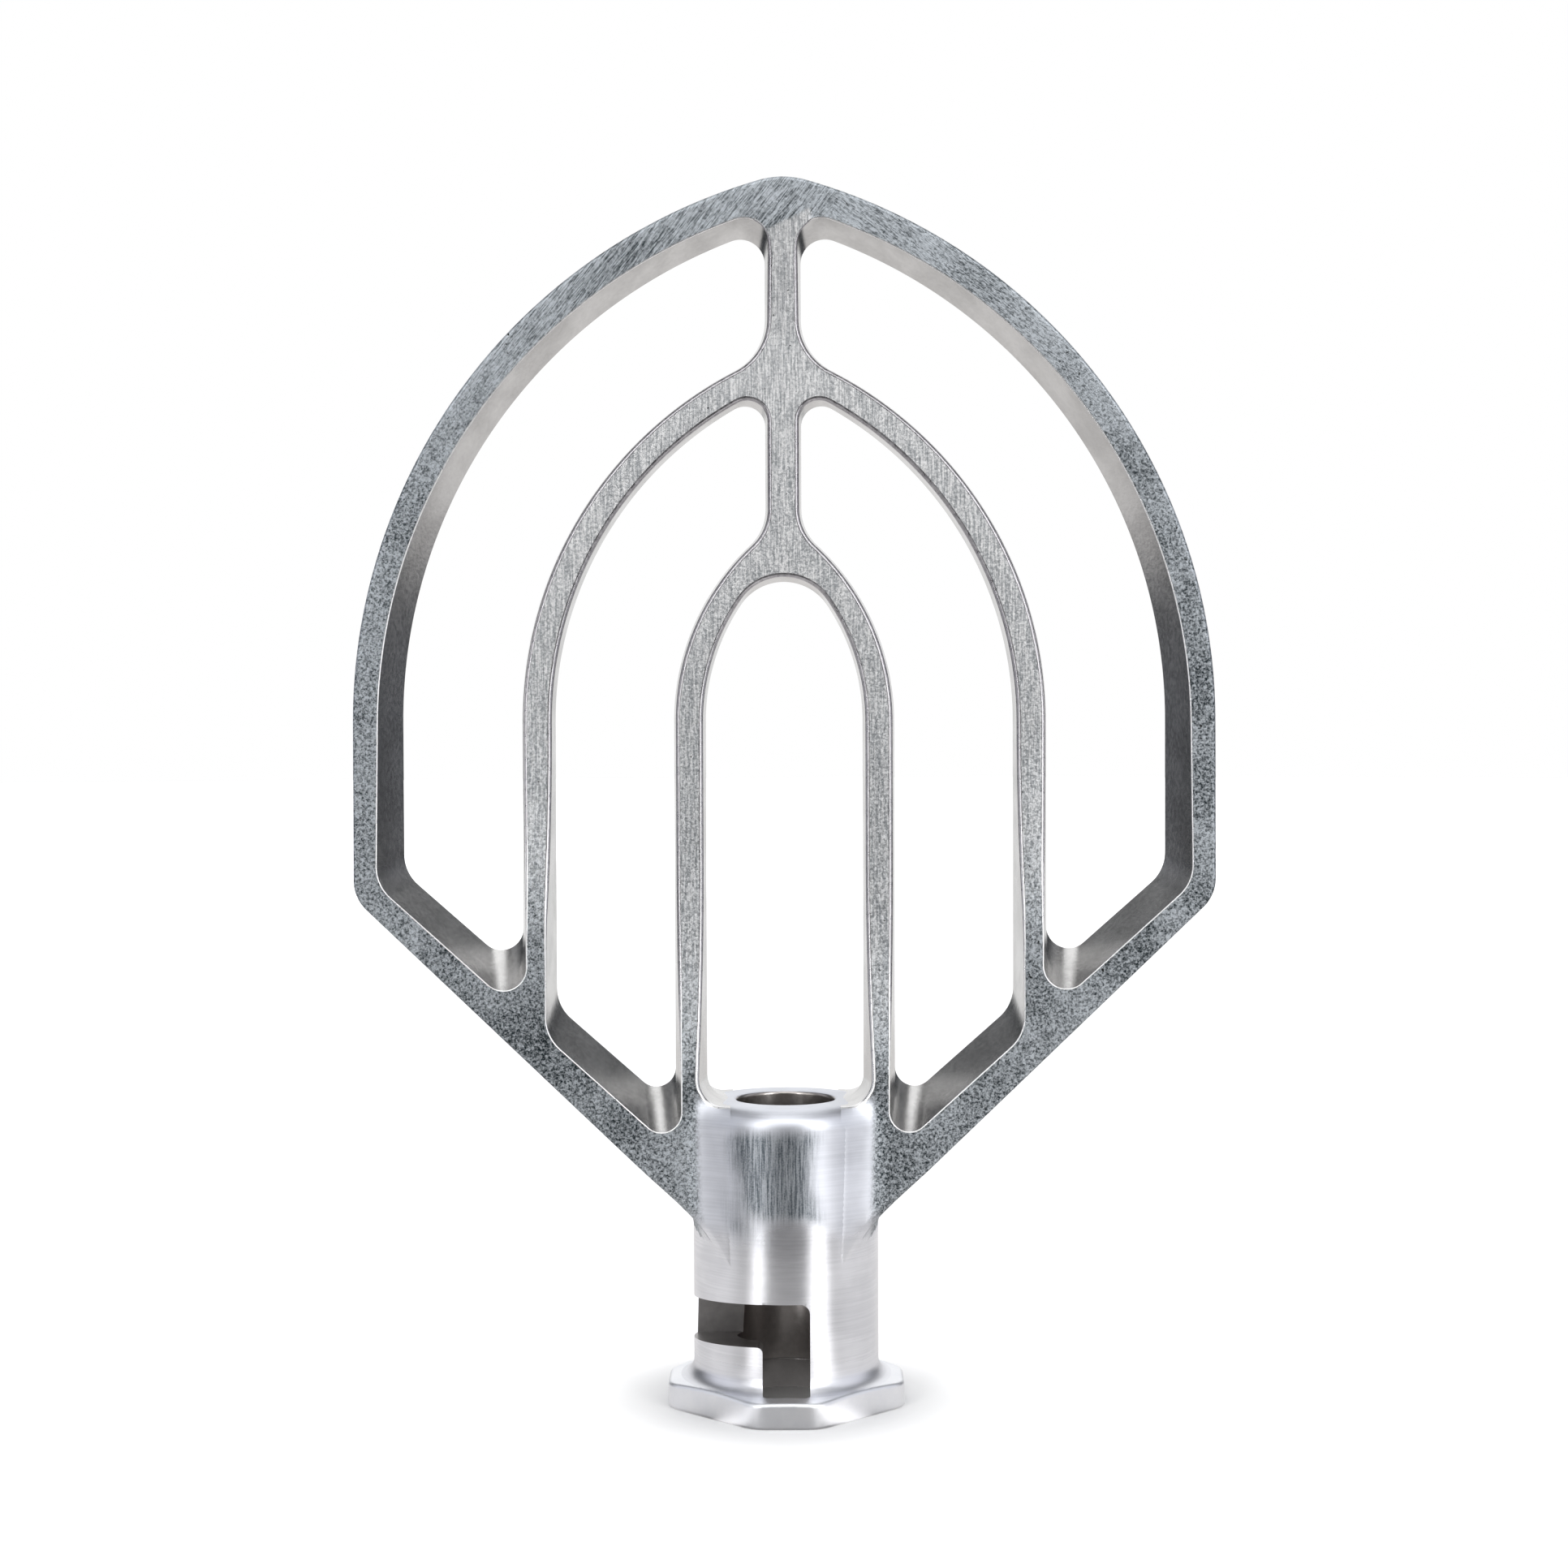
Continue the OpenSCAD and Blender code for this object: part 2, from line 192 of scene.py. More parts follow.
def soft_min(a, b, k):
    h = np.clip(0.5 + 0.5 * (b - a) / k, 0, 1)
    return b + (a - b) * h - k * h * (1 - h)


def beyond(x, z, straight, curved):
    """Whether plan points lie outside a limit that is upright up to the arches' centre and round above it."""
    return np.where(z > ARCH_Z, np.hypot(x + ARCH_X, z - ARCH_Z) > curved, x > straight)


def wedge(z):
    """Half thickness of the rim and the arms, which thin out towards the tip."""
    return ROOT_HALF + (TIP_HALF - ROOT_HALF) * (z - ROOT_Z) / (CROWN_PEAK - ROOT_Z)


def crown_line(x):
    """Height at which the rim's face ends above the spine: a lopsided V, as the sander left it."""
    vee = LINE_Z + np.where(x < LINE_X, LINE_X - x, (x - LINE_X) * 0.5)
    return vee - 4 * np.maximum(x - LINE_RIGHT, 0) - 4 * np.maximum(LINE_LEFT - x, 0)


def barrel_gap(x, y, z):
    """Distance from a point to the barrel's outside, negative within it."""
    q0 = np.hypot(x, y) - (HUB_R - SHOULDER_R)
    q1 = z - (HUB_TOP - SHOULDER_R)
    return np.hypot(np.maximum(q0, 0), np.maximum(q1, 0)) + np.minimum(np.maximum(q0, q1), 0) - SHOULDER_R


def member_half(x, z):
    """Half thickness of the blade's members, without the roundings at the hub."""
    ax = np.abs(x)
    w = wedge(z)
    rim = beyond(ax, z, *RIM_FROM)
    mid = ~rim & beyond(ax, z, *MIDDLE_FROM)

    def rib(root):
        t = np.clip(1 - (z - root) / RIB_BLEND, 0, 3)
        return RIB_HALF + (wedge(root) - RIB_HALF) * t * t

    def thinned(root, start, end):
        """The arm's thickness, thinned to the rib's, from the side of the root inwards."""
        return w - (w - soft_min(w, rib(root), 0.8)) * np.where(z > root + 6, 1, smooth(start, end, ax))

    h = np.where(rim, w, np.where(mid, thinned(MID_ROOT, 79, 71), thinned(INNER_ROOT, 41, 33)))
    line = crown_line(x)
    t = np.clip((z - 262) / (line - 262), 0, 1)
    ramp = RIB_HALF + (wedge(line) - RIB_HALF) * t ** 1.35
    return np.where((ax < CROWN_W) & (z > 240), np.where(z > line, w, ramp), h)


def half_depth(p):
    """Half thickness at plan points, with the roundings where the arms run into the barrel."""
    x, z = p[:, 0], p[:, 1]
    h = member_half(x, z)
    near = (np.abs(x) < 31) & (z < 86)
    if not near.any():
        return h
    xn, zn, hn, r = x[near], z[near], h[near], HUB_BLEND
    # halve the range until it holds the outside of the rounded union of the arm and the barrel
    lo, hi = np.zeros(len(xn)), np.full(len(xn), 30.0)
    for _ in range(34):
        y = (lo + hi) / 2
        a, b = y - hn, barrel_gap(xn, y, zn)
        u, v = np.maximum(r - a, 0), np.maximum(r - b, 0)
        inside = np.maximum(r, np.minimum(a, b)) - np.hypot(u, v) <= 0
        lo, hi = np.where(inside, y, lo), np.where(inside, hi, y)
    # where the union is only the barrel, the blade's skin sinks out of sight below it
    skin = np.sqrt(np.maximum(HUB_R ** 2 - xn ** 2, 0))
    proud = np.where(zn < HUB_TOP - SHOULDER_R, lo - skin, 1.0)
    out = h.copy()
    out[near] = lo - 0.25 * (1 - smooth(0.0, 0.06, proud))
    return out


def edge_radius(name, p):
    """Rounding between wall and face: a crisp break on the rim and arms, softer on the ribs."""
    x, z = np.abs(p[:, 0]), p[:, 1]
    if name == "outline":
        return 0.95 + 1.6 * smooth(36, 26, x) * smooth(75, 60, z)
    if name == "outer":
        rib = np.where(beyond(x, z, *RIM_FROM), 0, smooth(112, 136, z))
        rib = np.where((x < 9) & (z > 240), smooth(288, 280, z), rib)
    elif name == "middle":
        rib = np.where(x < MIDDLE_FROM[0], smooth(82, 106, z), smooth(106, 132, z))
        rib = np.where(z > ARCH_Z, 1, rib)
    else:
        rib = np.ones(len(p))
    return 0.38 + rib * 0.62


# ---------------------------------------------------------------- rings of points round each outline
# Rings up a wall and round its edge, and the greatest depth that the outlines are worked out for
WALLS, ROUNDS, DEEPEST = 6, 5, 19


def unit(vectors):
    return vectors / np.linalg.norm(vectors, axis=1)[:, None]


def along(loop):
    """Unit directions along a closed loop of plan points."""
    return unit(np.roll(loop, -1, 0) - np.roll(loop, 1, 0))


def edge_rings(name, outline, side):
    """Front half of one edge: rings from the middle plane, up the wall and over the rounding."""
    stack = np.array([outline(float(y)) for y in range(DEEPEST + 1)])
    idx = np.arange(stack.shape[1])

    def at(y):
        y = np.clip(y, 0, DEEPEST - 0.001)
        j = y.astype(int)
        f = (y - j)[:, None]
        return stack[j, idx] * (1 - f) + stack[j + 1, idx] * f

    # the sharp corner between wall and face, where the wall's depth is the blade's half thickness
    y = np.full(len(idx), 9.0)
    for _ in range(60):
        y = 0.5 * y + 0.5 * half_depth(at(y))
    p = at(y)
    t = along(p)
    n = side * np.stack([t[:, 1], -t[:, 0]], 1)
    # slopes of the wall and of the face there, and the arc that touches both, seen along the edge
    m = ((at(y) - at(y - 0.5)) * n).sum(1) / 0.5
    s = np.clip((half_depth(p + 0.4 * n) - half_depth(p)) / 0.4, -1.5, 1.5)
    rad = edge_radius(name, p)
    wall = unit(np.stack([-m, -np.ones_like(m)], 1))
    face = unit(np.stack([np.ones_like(s), s], 1))
    half = np.arccos(np.clip((wall * face).sum(1), -0.999, 0.999)) / 2
    reach = (rad / np.tan(half))[:, None]
    corner = np.stack([np.zeros_like(y), y], 1)
    c = corner + unit(wall + face) * (rad / np.sin(half))[:, None]
    a, b = corner + wall * reach - c, corner + face * reach - c
    spread = np.arccos(np.clip((a * b).sum(1) / rad ** 2, -1, 1))
    rings = []
    top = (corner + wall * reach)[:, 1]
    for j in range(WALLS):
        yy = top * j / WALLS
        q = at(yy)
        rings.append(np.stack([q[:, 0], -yy, q[:, 1]], 1))
    for k in range(ROUNDS + 1):
        f = k / ROUNDS
        from_a, from_b = np.sin((1 - f) * spread) / np.sin(spread), np.sin(f * spread) / np.sin(spread)
        section = c + from_a[:, None] * a + from_b[:, None] * b
        q = p + n * section[:, :1]
        rings.append(np.stack([q[:, 0], -section[:, 1], q[:, 1]], 1))
    last = rings[-1]
    last[:, 1] = -half_depth(last[:, [0, 2]])
    return rings


def even_odd(points, loops):
    """Whether each point lies inside an odd number of loops."""
    inside = np.zeros(len(points), bool)
    x, z = points[:, 0][:, None], points[:, 1][:, None]
    for loop in loops:
        a, b = loop, np.roll(loop, -1, 0)
        for i in range(0, len(a), 200):
            a0, b0 = a[i:i + 200], b[i:i + 200]
            straddles = (a0[:, 1] > z) != (b0[:, 1] > z)
            dz = np.where(b0[:, 1] == a0[:, 1], 1e-12, b0[:, 1] - a0[:, 1])
            cross = a0[:, 0] + (z - a0[:, 1]) / dz * (b0[:, 0] - a0[:, 0])
            inside ^= (straddles & (x < cross)).sum(1) % 2 == 1
    return inside


def hex_grid(x0, x1, z0, z1, step):
    """Points of a triangular grid over a rectangle."""
    out = []
    dz = step * math.sqrt(3) / 2
    for j in range(int((z1 - z0) / dz) + 1):
        xs = np.arange(x0 + (step / 2 if j % 2 else 0), x1, step)
        out.append(np.stack([xs, np.full(len(xs), z0 + j * dz)], 1))
    return np.concatenate(out)


def fill(loops, inner, creases=()):
    """Triangles over the region between the loops, through the given points and along the creases."""
    dense = np.concatenate([l + (np.roll(l, -1, 0) - l) * f for l in loops for f in (0, 0.25, 0.5, 0.75)])
    tree = kdtree.KDTree(len(dense))
    for i, q in enumerate(dense):
        tree.insert((q[0], q[1], 0), i)
    tree.balance()
    kept = []
    for pts, step in inner:
        pts = pts[even_odd(pts, loops)]
        kept += [q for q in pts if tree.find((q[0], q[1], 0))[2] > 0.5 * step]
    coords, edges, base = [], [], 0
    for loop in loops:
        coords += [Vector(q) for q in loop]
        edges += [(base + i, base + (i + 1) % len(loop)) for i in range(len(loop))]
        base += len(loop)
    boundary = base
    for line in creases:
        coords += [Vector(q) for q in line]
        edges += [(base + i, base + i + 1) for i in range(len(line) - 1)]
        base += len(line)
    coords += [Vector(q) for q in kept]
    verts, _, faces, origins, _, _ = delaunay_2d_cdt(coords, edges, [], 0, 1e-6)
    new = np.array([[v.x, v.y] for v in verts])
    source = [next((o for o in origins[i] if o < boundary), -1) for i in range(len(verts))]
    tri = np.array([f for f in faces if len(f) == 3])
    tri = tri[even_odd(new[tri].mean(1), loops)]
    return new, source, tri


# ---------------------------------------------------------------- the whole blade, cut into its members
FACE, WALL, CUT, EDGE = 0, 1, 2, 3


def drop_loose(bm):
    for v in [v for v in bm.verts if not v.link_faces]:
        bm.verts.remove(v)


def face_points():
    """Points for the blade's face, each set with its spacing, finer at the hub and the crown."""
    hub = np.concatenate([hex_grid(-29.5, -12.5, 36, 86, 0.9), hex_grid(12.5, 29.5, 36, 86, 0.9)])
    everywhere = hex_grid(-106, 106, 44, 302, 3.0)
    ax, z = np.abs(everywhere[:, 0]), everywhere[:, 1]
    everywhere = everywhere[~(((ax < 30) & (z < 87)) | ((ax < 13) & (z > 258) & (z < 298)))]
    crown = hex_grid(-12, 12, 259, 297, 1.0)
    crown = crown[np.abs(crown[:, 1] - crown_line(crown[:, 0])) > 0.4]
    return [(everywhere, 3.0), (hub, 0.9), (crown, 1.0)]


def blade_mesh():
    """The blade as one closed mesh, with the same faces in front and behind."""
    loops = [
        ("outline", blade_outline, -1),
        ("outer", outer_window, 1),
        ("outer", lambda y: mirrored(outer_window(y)), 1),
        ("middle", middle_window, 1),
        ("middle", lambda y: mirrored(middle_window(y)), 1),
        ("inner", inner_window, 1),
    ]
    bm = bmesh.new()
    front_loops, top_rows, bottom_rows = [], [], []
    for name, outline, side in loops:
        rings = edge_rings(name, outline, side)
        n = len(rings[0])
        rows = {1: [], -1: []}
        ridge = [bm.verts.new(v) for v in rings[0]]
        for way in (1, -1):
            rows[way].append(ridge)
            for ring in rings[1:]:
                rows[way].append([bm.verts.new((v[0], v[1] * way, v[2])) for v in ring])
            for j in range(len(rings) - 1):
                a, b = rows[way][j], rows[way][j + 1]
                for i in range(n):
                    k = (i + 1) % n
                    f = bm.faces.new((a[i], a[k], b[k], b[i]))
                    f.material_index = FACE if name == "outline" else EDGE if j >= WALLS else WALL
                    f.smooth = True
        if name != "outline":
            for i in range(n):
                bm.edges.get((ridge[i], ridge[(i + 1) % n])).smooth = False
        front_loops.append(rings[-1][:, [0, 2]])
        top_rows.append(rows[1][-1])
        bottom_rows.append(rows[-1][-1])
    xs = np.concatenate([np.linspace(LINE_LEFT, LINE_X, 7), np.linspace(LINE_X, LINE_RIGHT, 22)[1:]])
    line = np.stack([xs, crown_line(xs)], 1)
    line = line[even_odd(line, front_loops)]
    new, source, tri = fill(front_loops, face_points(), [line])
    depth = half_depth(new)
    for way, rows in ((1, top_rows), (-1, bottom_rows)):
        flat = [v for row in rows for v in row]
        verts = [flat[s] if s >= 0 else bm.verts.new((new[i, 0], -depth[i] * way, new[i, 1]))
                 for i, s in enumerate(source)]
        for t in tri:
            f = bm.faces.new([verts[i] for i in t])
            f.material_index = FACE
            f.smooth = True
    drop_loose(bm)
    bmesh.ops.recalc_face_normals(bm, faces=bm.faces)
    return bm


def cut(bm, axis, value, keep):
    """Cuts the blade along a plane, where keep(x, z) is true, and returns the plane test for its edges."""
    normal = Vector((1, 0, 0)) if axis == 0 else Vector((0, 0, 1))
    point = normal * value
    faces = [f for f in bm.faces if keep(f.calc_center_median())]
    geom = set(faces)
    for f in faces:
        geom.update(f.edges)
        geom.update(f.verts)
    bmesh.ops.bisect_plane(bm, geom=list(geom), dist=1e-5, plane_co=point, plane_no=normal)
    return lambda e: all(abs(v.co[axis] - value) < 2e-5 and keep(v.co, 3.0) for v in e.verts)


def box_test(x0, x1, z0, z1):
    return lambda c, slack=0.0: x0 - slack <= c.x <= x1 + slack and z0 - slack <= c.z <= z1 + slack


def sided(side, a, b):
    """The stretch from a to b on the right, where side is 1, or its mirror image on the left."""
    return (a, b) if side > 0 else (-b, -a)


def islands(bm):
    """The mesh's points, in groups that hang together."""
    bm.verts.index_update()
    seen, groups = set(), []
    for v in bm.verts:
        if v in seen:
            continue
        stack, group = [v], []
        seen.add(v)
        while stack:
            w = stack.pop()
            group.append(w)
            for e in w.link_edges:
                o = e.other_vert(w)
                if o not in seen:
                    seen.add(o)
                    stack.append(o)
        groups.append(group)
    return groups


def split_members(bm):
    """Cuts the blade at its members' roots and returns each member's points."""
    tests = [cut(bm, 0, side * HUB_CUT, box_test(-30, 30, 30, 79)) for side in (1, -1)]
    tests.append(cut(bm, 2, INNER_ROOT, box_test(-33, 33, 77, 90)))
    for side in (1, -1):
        tests.append(cut(bm, 2, MID_ROOT, box_test(*sided(side, 46, 71), 108, 128)))
        tests.append(cut(bm, 2, ELBOW_Z, box_test(*sided(side, 84, 110), 126, 146)))
        for a, b in ((84, 110), (45, 76), (8, 38)):
            tests.append(cut(bm, 2, ARCH_Z, box_test(*sided(side, a, b), 158, 178)))
        tests.append(cut(bm, 0, side * CROWN_W, box_test(*sided(side, 8, 20), 281, 305)))
        tests.append(cut(bm, 0, side * SPINE_CUT, box_test(*sided(side, 0.5, 12), 197, 275)))
    tests.append(cut(bm, 2, CROWN_Z, box_test(-7, 7, 270, 286)))
    seams = [e for e in bm.edges if any(t(e) for t in tests)]
    bmesh.ops.split_edges(bm, edges=seams)
    return islands(bm)


def member_object(name, group):
    """One member as its own closed mesh, with its cut ends capped flat."""
    index = {v: i for i, v in enumerate(group)}
    faces = {f for v in group for f in v.link_faces}
    out = bmesh.new()
    verts = [out.verts.new(v.co) for v in group]
    for f in faces:
        g = out.faces.new([verts[index[v]] for v in f.verts])
        g.material_index, g.smooth = f.material_index, True
    for v in group:
        for e in v.link_edges:
            if not e.smooth:
                other = out.edges.get((verts[index[e.verts[0]]], verts[index[e.verts[1]]]))
                if other:
                    other.smooth = False
    rim = [e for e in out.edges if e.is_boundary]
    caps = bmesh.ops.holes_fill(out, edges=rim, sides=0)["faces"]
    for f in caps:
        f.material_index, f.smooth = CUT, False
    for e in rim:
        if e.is_valid:
            e.smooth = False
    bmesh.ops.triangulate(out, faces=caps)
    bmesh.ops.recalc_face_normals(out, faces=out.faces)
    return finish_mesh(name, out)


def finish_mesh(name, bm):
    bmesh.ops.scale(bm, vec=(MM, MM, MM), verts=bm.verts)
    mesh = bpy.data.meshes.new(name)
    bm.to_mesh(mesh)
    bm.free()
    obj = bpy.data.objects.new(name, mesh)
    bpy.context.scene.collection.objects.link(obj)
    mod = obj.modifiers.new("even_normals", "WEIGHTED_NORMAL")
    mod.keep_sharp = True
    mod.weight = 50
    return obj


# ---------------------------------------------------------------- hub barrel
FLANGE_X, FLANGE_Y, FLANGE_D = 29.0, 29.3, 26.4
FLANGE_EDGE, FLANGE_ROOT, FLANGE_FILLET, FLANGE_CORNER = 6.2, 7.4, 4.0, 8.0
FALL = (FLANGE_ROOT - FLANGE_EDGE) / (FLANGE_X - HUB_R)
SLOT_W, SLOT_TOP, LOCK_H, LOCK_BACK, LOCK_TILT, KEYWAY_R = 11.4, 28.4, 10.3, 6.6, 5.3, 25.2
LIP_R = 1.5
SLOT_CORNER = 2.4


def lathe(profile, steps=160):
    bm = bmesh.new()
    rows = []
    for k in range(steps):
        a = 2 * math.pi * (k + 0.5) / steps
        rows.append([bm.verts.new((r * math.cos(a), r * math.sin(a), z)) for r, z in profile])
    n = len(profile)
    for k in range(steps):
        a, b = rows[k], rows[(k + 1) % steps]
        for i in range(n):
            j = (i + 1) % n
            bm.faces.new((a[i], b[i], b[j], a[j]))
    bmesh.ops.recalc_face_normals(bm, faces=bm.faces)
    return bm


def temporary(name, bm):
    mesh = bpy.data.meshes.new(name)
    bm.to_mesh(mesh)
    bm.free()
    obj = bpy.data.objects.new(name, mesh)
    bpy.context.scene.collection.objects.link(obj)
    return obj


def block(lo, hi, matrix=Matrix.Identity(4)):
    bm = bmesh.new()
    bmesh.ops.create_cube(bm, size=1)
    size, mid = np.subtract(hi, lo), np.add(hi, lo) / 2
    bmesh.ops.scale(bm, vec=size, verts=bm.verts)
    bmesh.ops.translate(bm, vec=mid, verts=bm.verts)
    bmesh.ops.transform(bm, matrix=matrix, verts=bm.verts)
    return bm


def through_cut(plan, fall=0.0):
    """Prism through the front wall of the barrel from an x, z outline, sinking inwards by fall."""
    cut_bm = bmesh.new()
    near = [cut_bm.verts.new((x, -2 * HUB_R, z + fall * HUB_R)) for x, z in plan]
    far = [cut_bm.verts.new((x, 0, z - fall * HUB_R)) for x, z in plan]
    for i in range(len(plan)):
        j = (i + 1) % len(plan)
        cut_bm.faces.new((near[i], near[j], far[j], far[i]))
    cut_bm.faces.new(near[::-1])
    cut_bm.faces.new(far)
    bmesh.ops.recalc_face_normals(cut_bm, faces=cut_bm.faces)
    return cut_bm


def barrel_object():
    tilt = math.degrees(math.atan(FALL))
    centre = (HUB_R + FLANGE_FILLET, FLANGE_ROOT - FALL * FLANGE_FILLET + FLANGE_FILLET / cosd(tilt))
    low = arc(centre, FLANGE_FILLET, 270 - tilt, 180, 12)
    high = arc((HUB_R - SHOULDER_R, HUB_TOP - SHOULDER_R), SHOULDER_R, 0, 90, 10)
    sides = [(HUB_R, z) for z in np.linspace(low[-1, 1], high[0, 1], 14)[1:-1]]
    mouth = [(15.5, HUB_TOP), (BORE_R + 0.9, HUB_TOP), (BORE_R + 0.25, HUB_TOP - 0.25)]
    bore = [(BORE_R, z) for z in (HUB_TOP - 0.9, 60, 45, 34)]
    outside = [(HUB_R, FLANGE_ROOT), *map(tuple, low), *sides, *map(tuple, high)]
    profile = [(BORE_R, FLANGE_ROOT), *outside, *mouth, *bore]
    barrel = temporary("barrel_blank", lathe(profile))
    w, r = SLOT_W / 2, SLOT_CORNER
    entry = through_cut([(-w, 2.0), (w, 2.0), *arc((w - r, SLOT_TOP - r), r, 0, 90, 8), (-w, SLOT_TOP)])
    lip_z = SLOT_TOP - LOCK_H / cosd(LOCK_TILT)
    lip_round = arc((-w - LIP_R, lip_z - LIP_R), LIP_R, 0, 90, 8)
    lip_top = [(-w - LIP_R, lip_z + 0.5), (0.5 - w, lip_z + 0.5)]
    lip = through_cut([(0.5 - w, lip_z - LIP_R), *lip_round, *lip_top], tand(LOCK_TILT))
    depth = 2 * HUB_R
    lean = Matrix.Rotation(math.radians(-LOCK_TILT), 4, "X")
    place = Matrix.Translation((0, -HUB_R, SLOT_TOP - 0.001)) @ lean
    lock = block((-depth, -depth, -LOCK_H), (0, HUB_R + LOCK_BACK, 0), place)
    cutters = [temporary("entry_cut", entry), temporary("lock_cut", lock), temporary("lip_cut", lip)]
    for c in cutters:
        mod = barrel.modifiers.new("cut", "BOOLEAN")
        mod.operation, mod.solver, mod.object = "DIFFERENCE", "EXACT", c
    mesh = bpy.data.meshes.new_from_object(barrel.evaluated_get(bpy.context.evaluated_depsgraph_get()))
    bm = bmesh.new()
    bm.from_mesh(mesh)
    for o in cutters + [barrel]:
        bpy.data.objects.remove(o)
    bmesh.ops.remove_doubles(bm, verts=bm.verts, dist=0.004)
    bmesh.ops.dissolve_degenerate(bm, edges=bm.edges, dist=0.004)
    sharp = [e for e in bm.edges if len(e.link_faces) == 2 and e.calc_face_angle(0) > math.radians(38)
             and all(7.6 < v.co.z < 33 for v in e.verts)]
    bmesh.ops.bevel(bm, geom=sharp, offset=0.45, offset_type="OFFSET", segments=3, profile=0.5,
                    affect="EDGES", clamp_overlap=True)
    for f in bm.faces:
        c, n = f.calc_center_median(), f.normal
        radial = Vector((c.x, c.y, 0)).normalized()
        ring = math.hypot(c.x, c.y)
        in_wall = BORE_R - 0.1 < ring < HUB_R - 0.35 and FLANGE_ROOT + 0.01 < c.z < 31
        f.smooth = True
        if ring < BORE_R + 0.3 and n.dot(radial) < -0.8:
            f.material_index = 1
        elif in_wall and abs(n.dot(radial)) < 0.93:
            f.material_index = 2
        else:
            f.material_index = 0
    for e in bm.edges:
        if len(e.link_faces) == 2 and e.calc_face_angle(0) > math.radians(50):
            e.smooth = False
    return finish_mesh("barrel_casting", bm)


# ---------------------------------------------------------------- flange
def rounded_polygon(corners, r, steps=6):
    pts = []
    n = len(corners)
    for i in range(n):
        a, b, c = (np.array(corners[(i + k) % n], float) for k in (-1, 0, 1))
        u, v = (a - b) / np.linalg.norm(a - b), (c - b) / np.linalg.norm(c - b)
        half = math.acos(np.clip(u @ v, -1, 1)) / 2
        reach = r / math.tan(half)
        bis = (u + v) / np.linalg.norm(u + v)
        m = b + bis * r / math.sin(half)
        p0, p1 = b + u * reach, b + v * reach
        a0, a1 = (math.atan2(*(q - m)[::-1]) for q in (p0, p1))
        d = (a1 - a0 + math.pi) % (2 * math.pi) - math.pi
        for k in range(steps + 1):
            t = a0 + d * k / steps
            pts.append([m[0] + r * math.cos(t), m[1] + r * math.sin(t)])
    return np.array(pts)


def resample(loop, step):
    out = []
    for a, b in zip(loop, np.roll(loop, -1, 0)):
        n = max(1, int(np.linalg.norm(b - a) / step))
        out.append(a + (b - a) * np.arange(n)[:, None] / n)
    return np.concatenate(out)


def flange_top(p):
    r = np.hypot(p[:, 0], p[:, 1])
    return FLANGE_ROOT - FALL * np.maximum(r - HUB_R, 0)


def flange_object():
    x, y = FLANGE_X - FLANGE_CORNER, FLANGE_Y - FLANGE_CORNER
    total = (FLANGE_D - FLANGE_CORNER) * math.sqrt(2)
    side_corner = arc((x, total - x), FLANGE_CORNER, 0, 45, 8)
    back_corner = arc((total - y, y), FLANGE_CORNER, 45, 90, 8)
    quarter = np.concatenate([side_corner, back_corner])
    back = np.concatenate([quarter, mirrored(quarter)])
    outer = resample(np.concatenate([back, back[::-1] * [1, -1]]), 1.5)
    w = SLOT_W / 2
    gate = math.degrees(math.asin(w / BORE_R))
    bore = arc((0, 0), BORE_R, -90 + gate, 270 - gate, 110)
    keyway = rounded_polygon([(-w, -KEYWAY_R), (w, -KEYWAY_R), (0, 0)], 1.2, 5)
    keyway = keyway[keyway[:, 1] < -KEYWAY_R + 1.25]
    keyway[:, 0] = np.clip(keyway[:, 0], -w, w)
    hole = resample(np.concatenate([bore, [[-w, -KEYWAY_R + 4], [-w, -KEYWAY_R + 1.2]], keyway[2:-2],
                                    [[w, -KEYWAY_R + 1.2], [w, -KEYWAY_R + 4]]]), 1.2)[::-1]
    bm = bmesh.new()
    tops, lows, top_pts, low_pts = [], [], [], []
    for loop, side, r_top, r_low in ((outer, 1, 1.1, 0.7), (hole, 1, 0.5, 0.4)):
        t = np.roll(loop, -1, 0) - np.roll(loop, 1, 0)
        t /= np.linalg.norm(t, axis=1)[:, None]
        n = side * np.stack([-t[:, 1], t[:, 0]], 1)
        rows = []
        for k in range(6):
            f = math.pi / 2 * k / 5
            q = loop + n * r_low * (1 - math.sin(f))
            rows.append(np.column_stack([q, np.full(len(q), r_low * (1 - math.cos(f)))]))
        for f in (0.3, 0.7):
            rows.append(np.column_stack([loop, r_low + (flange_top(loop) - r_low - r_top) * f]))
        for k in range(6):
            f = math.pi / 2 * k / 5
            q = loop + n * r_top * (1 - math.cos(f))
            z = flange_top(loop + n * r_top) - r_top * (1 - math.sin(f))
            rows.append(np.column_stack([q, z]))
        vs = [[bm.verts.new(p) for p in row] for row in rows]
        for u, v in zip(vs, vs[1:]):
            for i in range(len(u)):
                j = (i + 1) % len(u)
                g = bm.faces.new((u[i], u[j], v[j], v[i]))
                g.material_index = 0 if loop is outer else 2
        tops.append(vs[-1])
        lows.append(vs[0])
        top_pts.append(rows[-1][:, :2])
        low_pts.append(rows[0][:, :2])
    grid = hex_grid(-30, 30, -30, 30, 1.6)
    for pts, rows, height, mat in ((top_pts, tops, flange_top, 1), (low_pts, lows, None, 3)):
        new, source, tri = fill(pts, [(grid, 1.6)])
        z = height(new) if height else np.zeros(len(new))
        flat = [v for row in rows for v in row]
        verts = [flat[s] if s >= 0 else bm.verts.new((new[i, 0], new[i, 1], z[i]))
                 for i, s in enumerate(source)]
        for t in tri:
            bm.faces.new([verts[i] for i in t]).material_index = mat
    drop_loose(bm)
    for f in bm.faces:
        f.smooth = True
    bmesh.ops.recalc_face_normals(bm, faces=bm.faces)
    return finish_mesh("flange_casting", bm)


